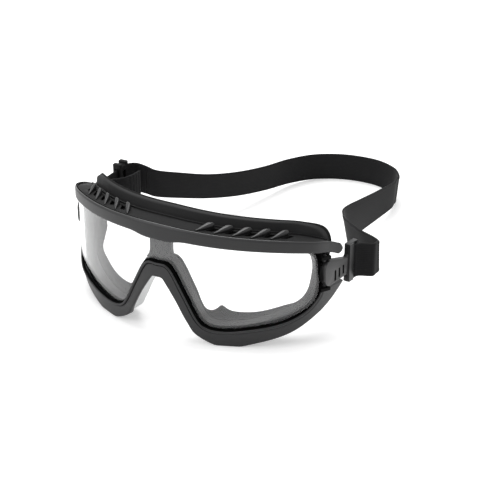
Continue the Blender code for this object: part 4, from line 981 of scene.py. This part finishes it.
# Body, bevel in mm, finish and record slot of each solid
# The deck's darker colour is painted shade, and the brackets are painted near black as the shade of their
# recesses.
SOFTENED = {"vent_deck": ("frame", 0.3, DARK_SHADE_PLASTIC, "frame_black"),
            "strap_slider": ("slider", 0.45, DARK_SHADE_PLASTIC, "frame_black")}
for word in ("right", "left"):
    SOFTENED["hinge_bracket_" + word] = ("frame", 0.3, NEAR_BLACK, "frame_black")
    SOFTENED["hinge_pin_" + word] = ("frame", 0.2, STEEL, "pin_steel")
    SOFTENED["strap_clip_" + word] = ("clip_" + word, 0.55, GLOSSY_LIGHTER_PLASTIC, "frame_black")
for node_name, (body, width, material, slot) in SOFTENED.items():
    stand_for(softened(node_name + "_soft", node_name, width * MM, material), body, slot, node_name)

# %% [markdown]
# ## Floor and light
# The goggles stand on a pale floor in a white studio. Camera, mirror and glass rays see pure white, so
# the plastic and the lens reflect a white room, while the light itself stays at a plain level. A large
# soft lamp from above gives the contact shadows and the bright line on every upper edge.

# %% Floor
FLOOR_HALF = 3.0
FLOOR_GLOW = 0.42
floor_mesh = bpy.data.meshes.new("floor")
floor_mesh.from_pydata([(-FLOOR_HALF, -FLOOR_HALF, 0.0), (FLOOR_HALF, -FLOOR_HALF, 0.0),
                        (FLOOR_HALF, FLOOR_HALF, 0.0), (-FLOOR_HALF, FLOOR_HALF, 0.0)], [], [(0, 1, 2, 3)])


def seen_mask(tree):
    """1 for camera, mirror and glass rays, 0 for the rays that carry light on."""
    path = node(tree, "ShaderNodeLightPath").outputs
    first = maths(tree, "MAXIMUM", path["Is Camera Ray"], path["Is Glossy Ray"])
    return maths(tree, "MAXIMUM", first, path["Is Transmission Ray"])


floor_material = bpy.data.materials.new("pale_floor")
floor_material.use_nodes = True
floor_tree = floor_material.node_tree
floor_tree.nodes.remove(floor_tree.nodes["Principled BSDF"])
matt = node(floor_tree, "ShaderNodeBsdfDiffuse", {"Color": (0.86, 0.86, 0.86, 1.0)})
seen = maths(floor_tree, "MULTIPLY", seen_mask(floor_tree), FLOOR_GLOW)
glow = node(floor_tree, "ShaderNodeEmission", {"Color": (1.0, 1.0, 1.0, 1.0), "Strength": seen})
both = node(floor_tree, "ShaderNodeAddShader", {0: matt.outputs[0], 1: glow.outputs[0]})
floor_tree.links.new(both.outputs[0], floor_tree.nodes["Material Output"].inputs["Surface"])
floor = add_piece("floor", floor_mesh, [floor_material])
print("floor", 2 * FLOOR_HALF, "m wide")

# %% World and lamps
AMBIENT = 0.45
world = bpy.data.worlds.new("studio")
bpy.context.scene.world = world
world.use_nodes = True
world_tree = world.node_tree
strength = node(world_tree, "ShaderNodeMapRange", {"Value": seen_mask(world_tree), "To Min": AMBIENT,
                                                   "To Max": 1.0})
backdrop = world_tree.nodes["Background"]
backdrop.inputs["Color"].default_value = (1.0, 1.0, 1.0, 1.0)
world_tree.links.new(strength.outputs["Result"], backdrop.inputs["Strength"])


def softbox(name, place, aim, size, power):
    """Square area lamp that looks at a point."""
    data = bpy.data.lights.new(name, "AREA")
    data.size = size
    data.energy = power
    lamp = bpy.data.objects.new(name, data)
    bpy.context.scene.collection.objects.link(lamp)
    lamp.location = place
    lamp.rotation_mode = "QUATERNION"
    lamp.rotation_quaternion = (Vector(aim) - Vector(place)).to_track_quat("-Z", "Y")
    return lamp


softbox("top_lamp", (-0.15, 0.25, 1.3), (0.0, 0.05, 0.0), 0.9, 14.0)
softbox("front_lamp", (-0.7, -1.0, 0.9), (0.0, 0.0, 0.03), 0.7, 6.0)
print("lamps: 2, ambient", AMBIENT)

# %% View settings
bpy.context.scene.view_settings.view_transform = "Standard"
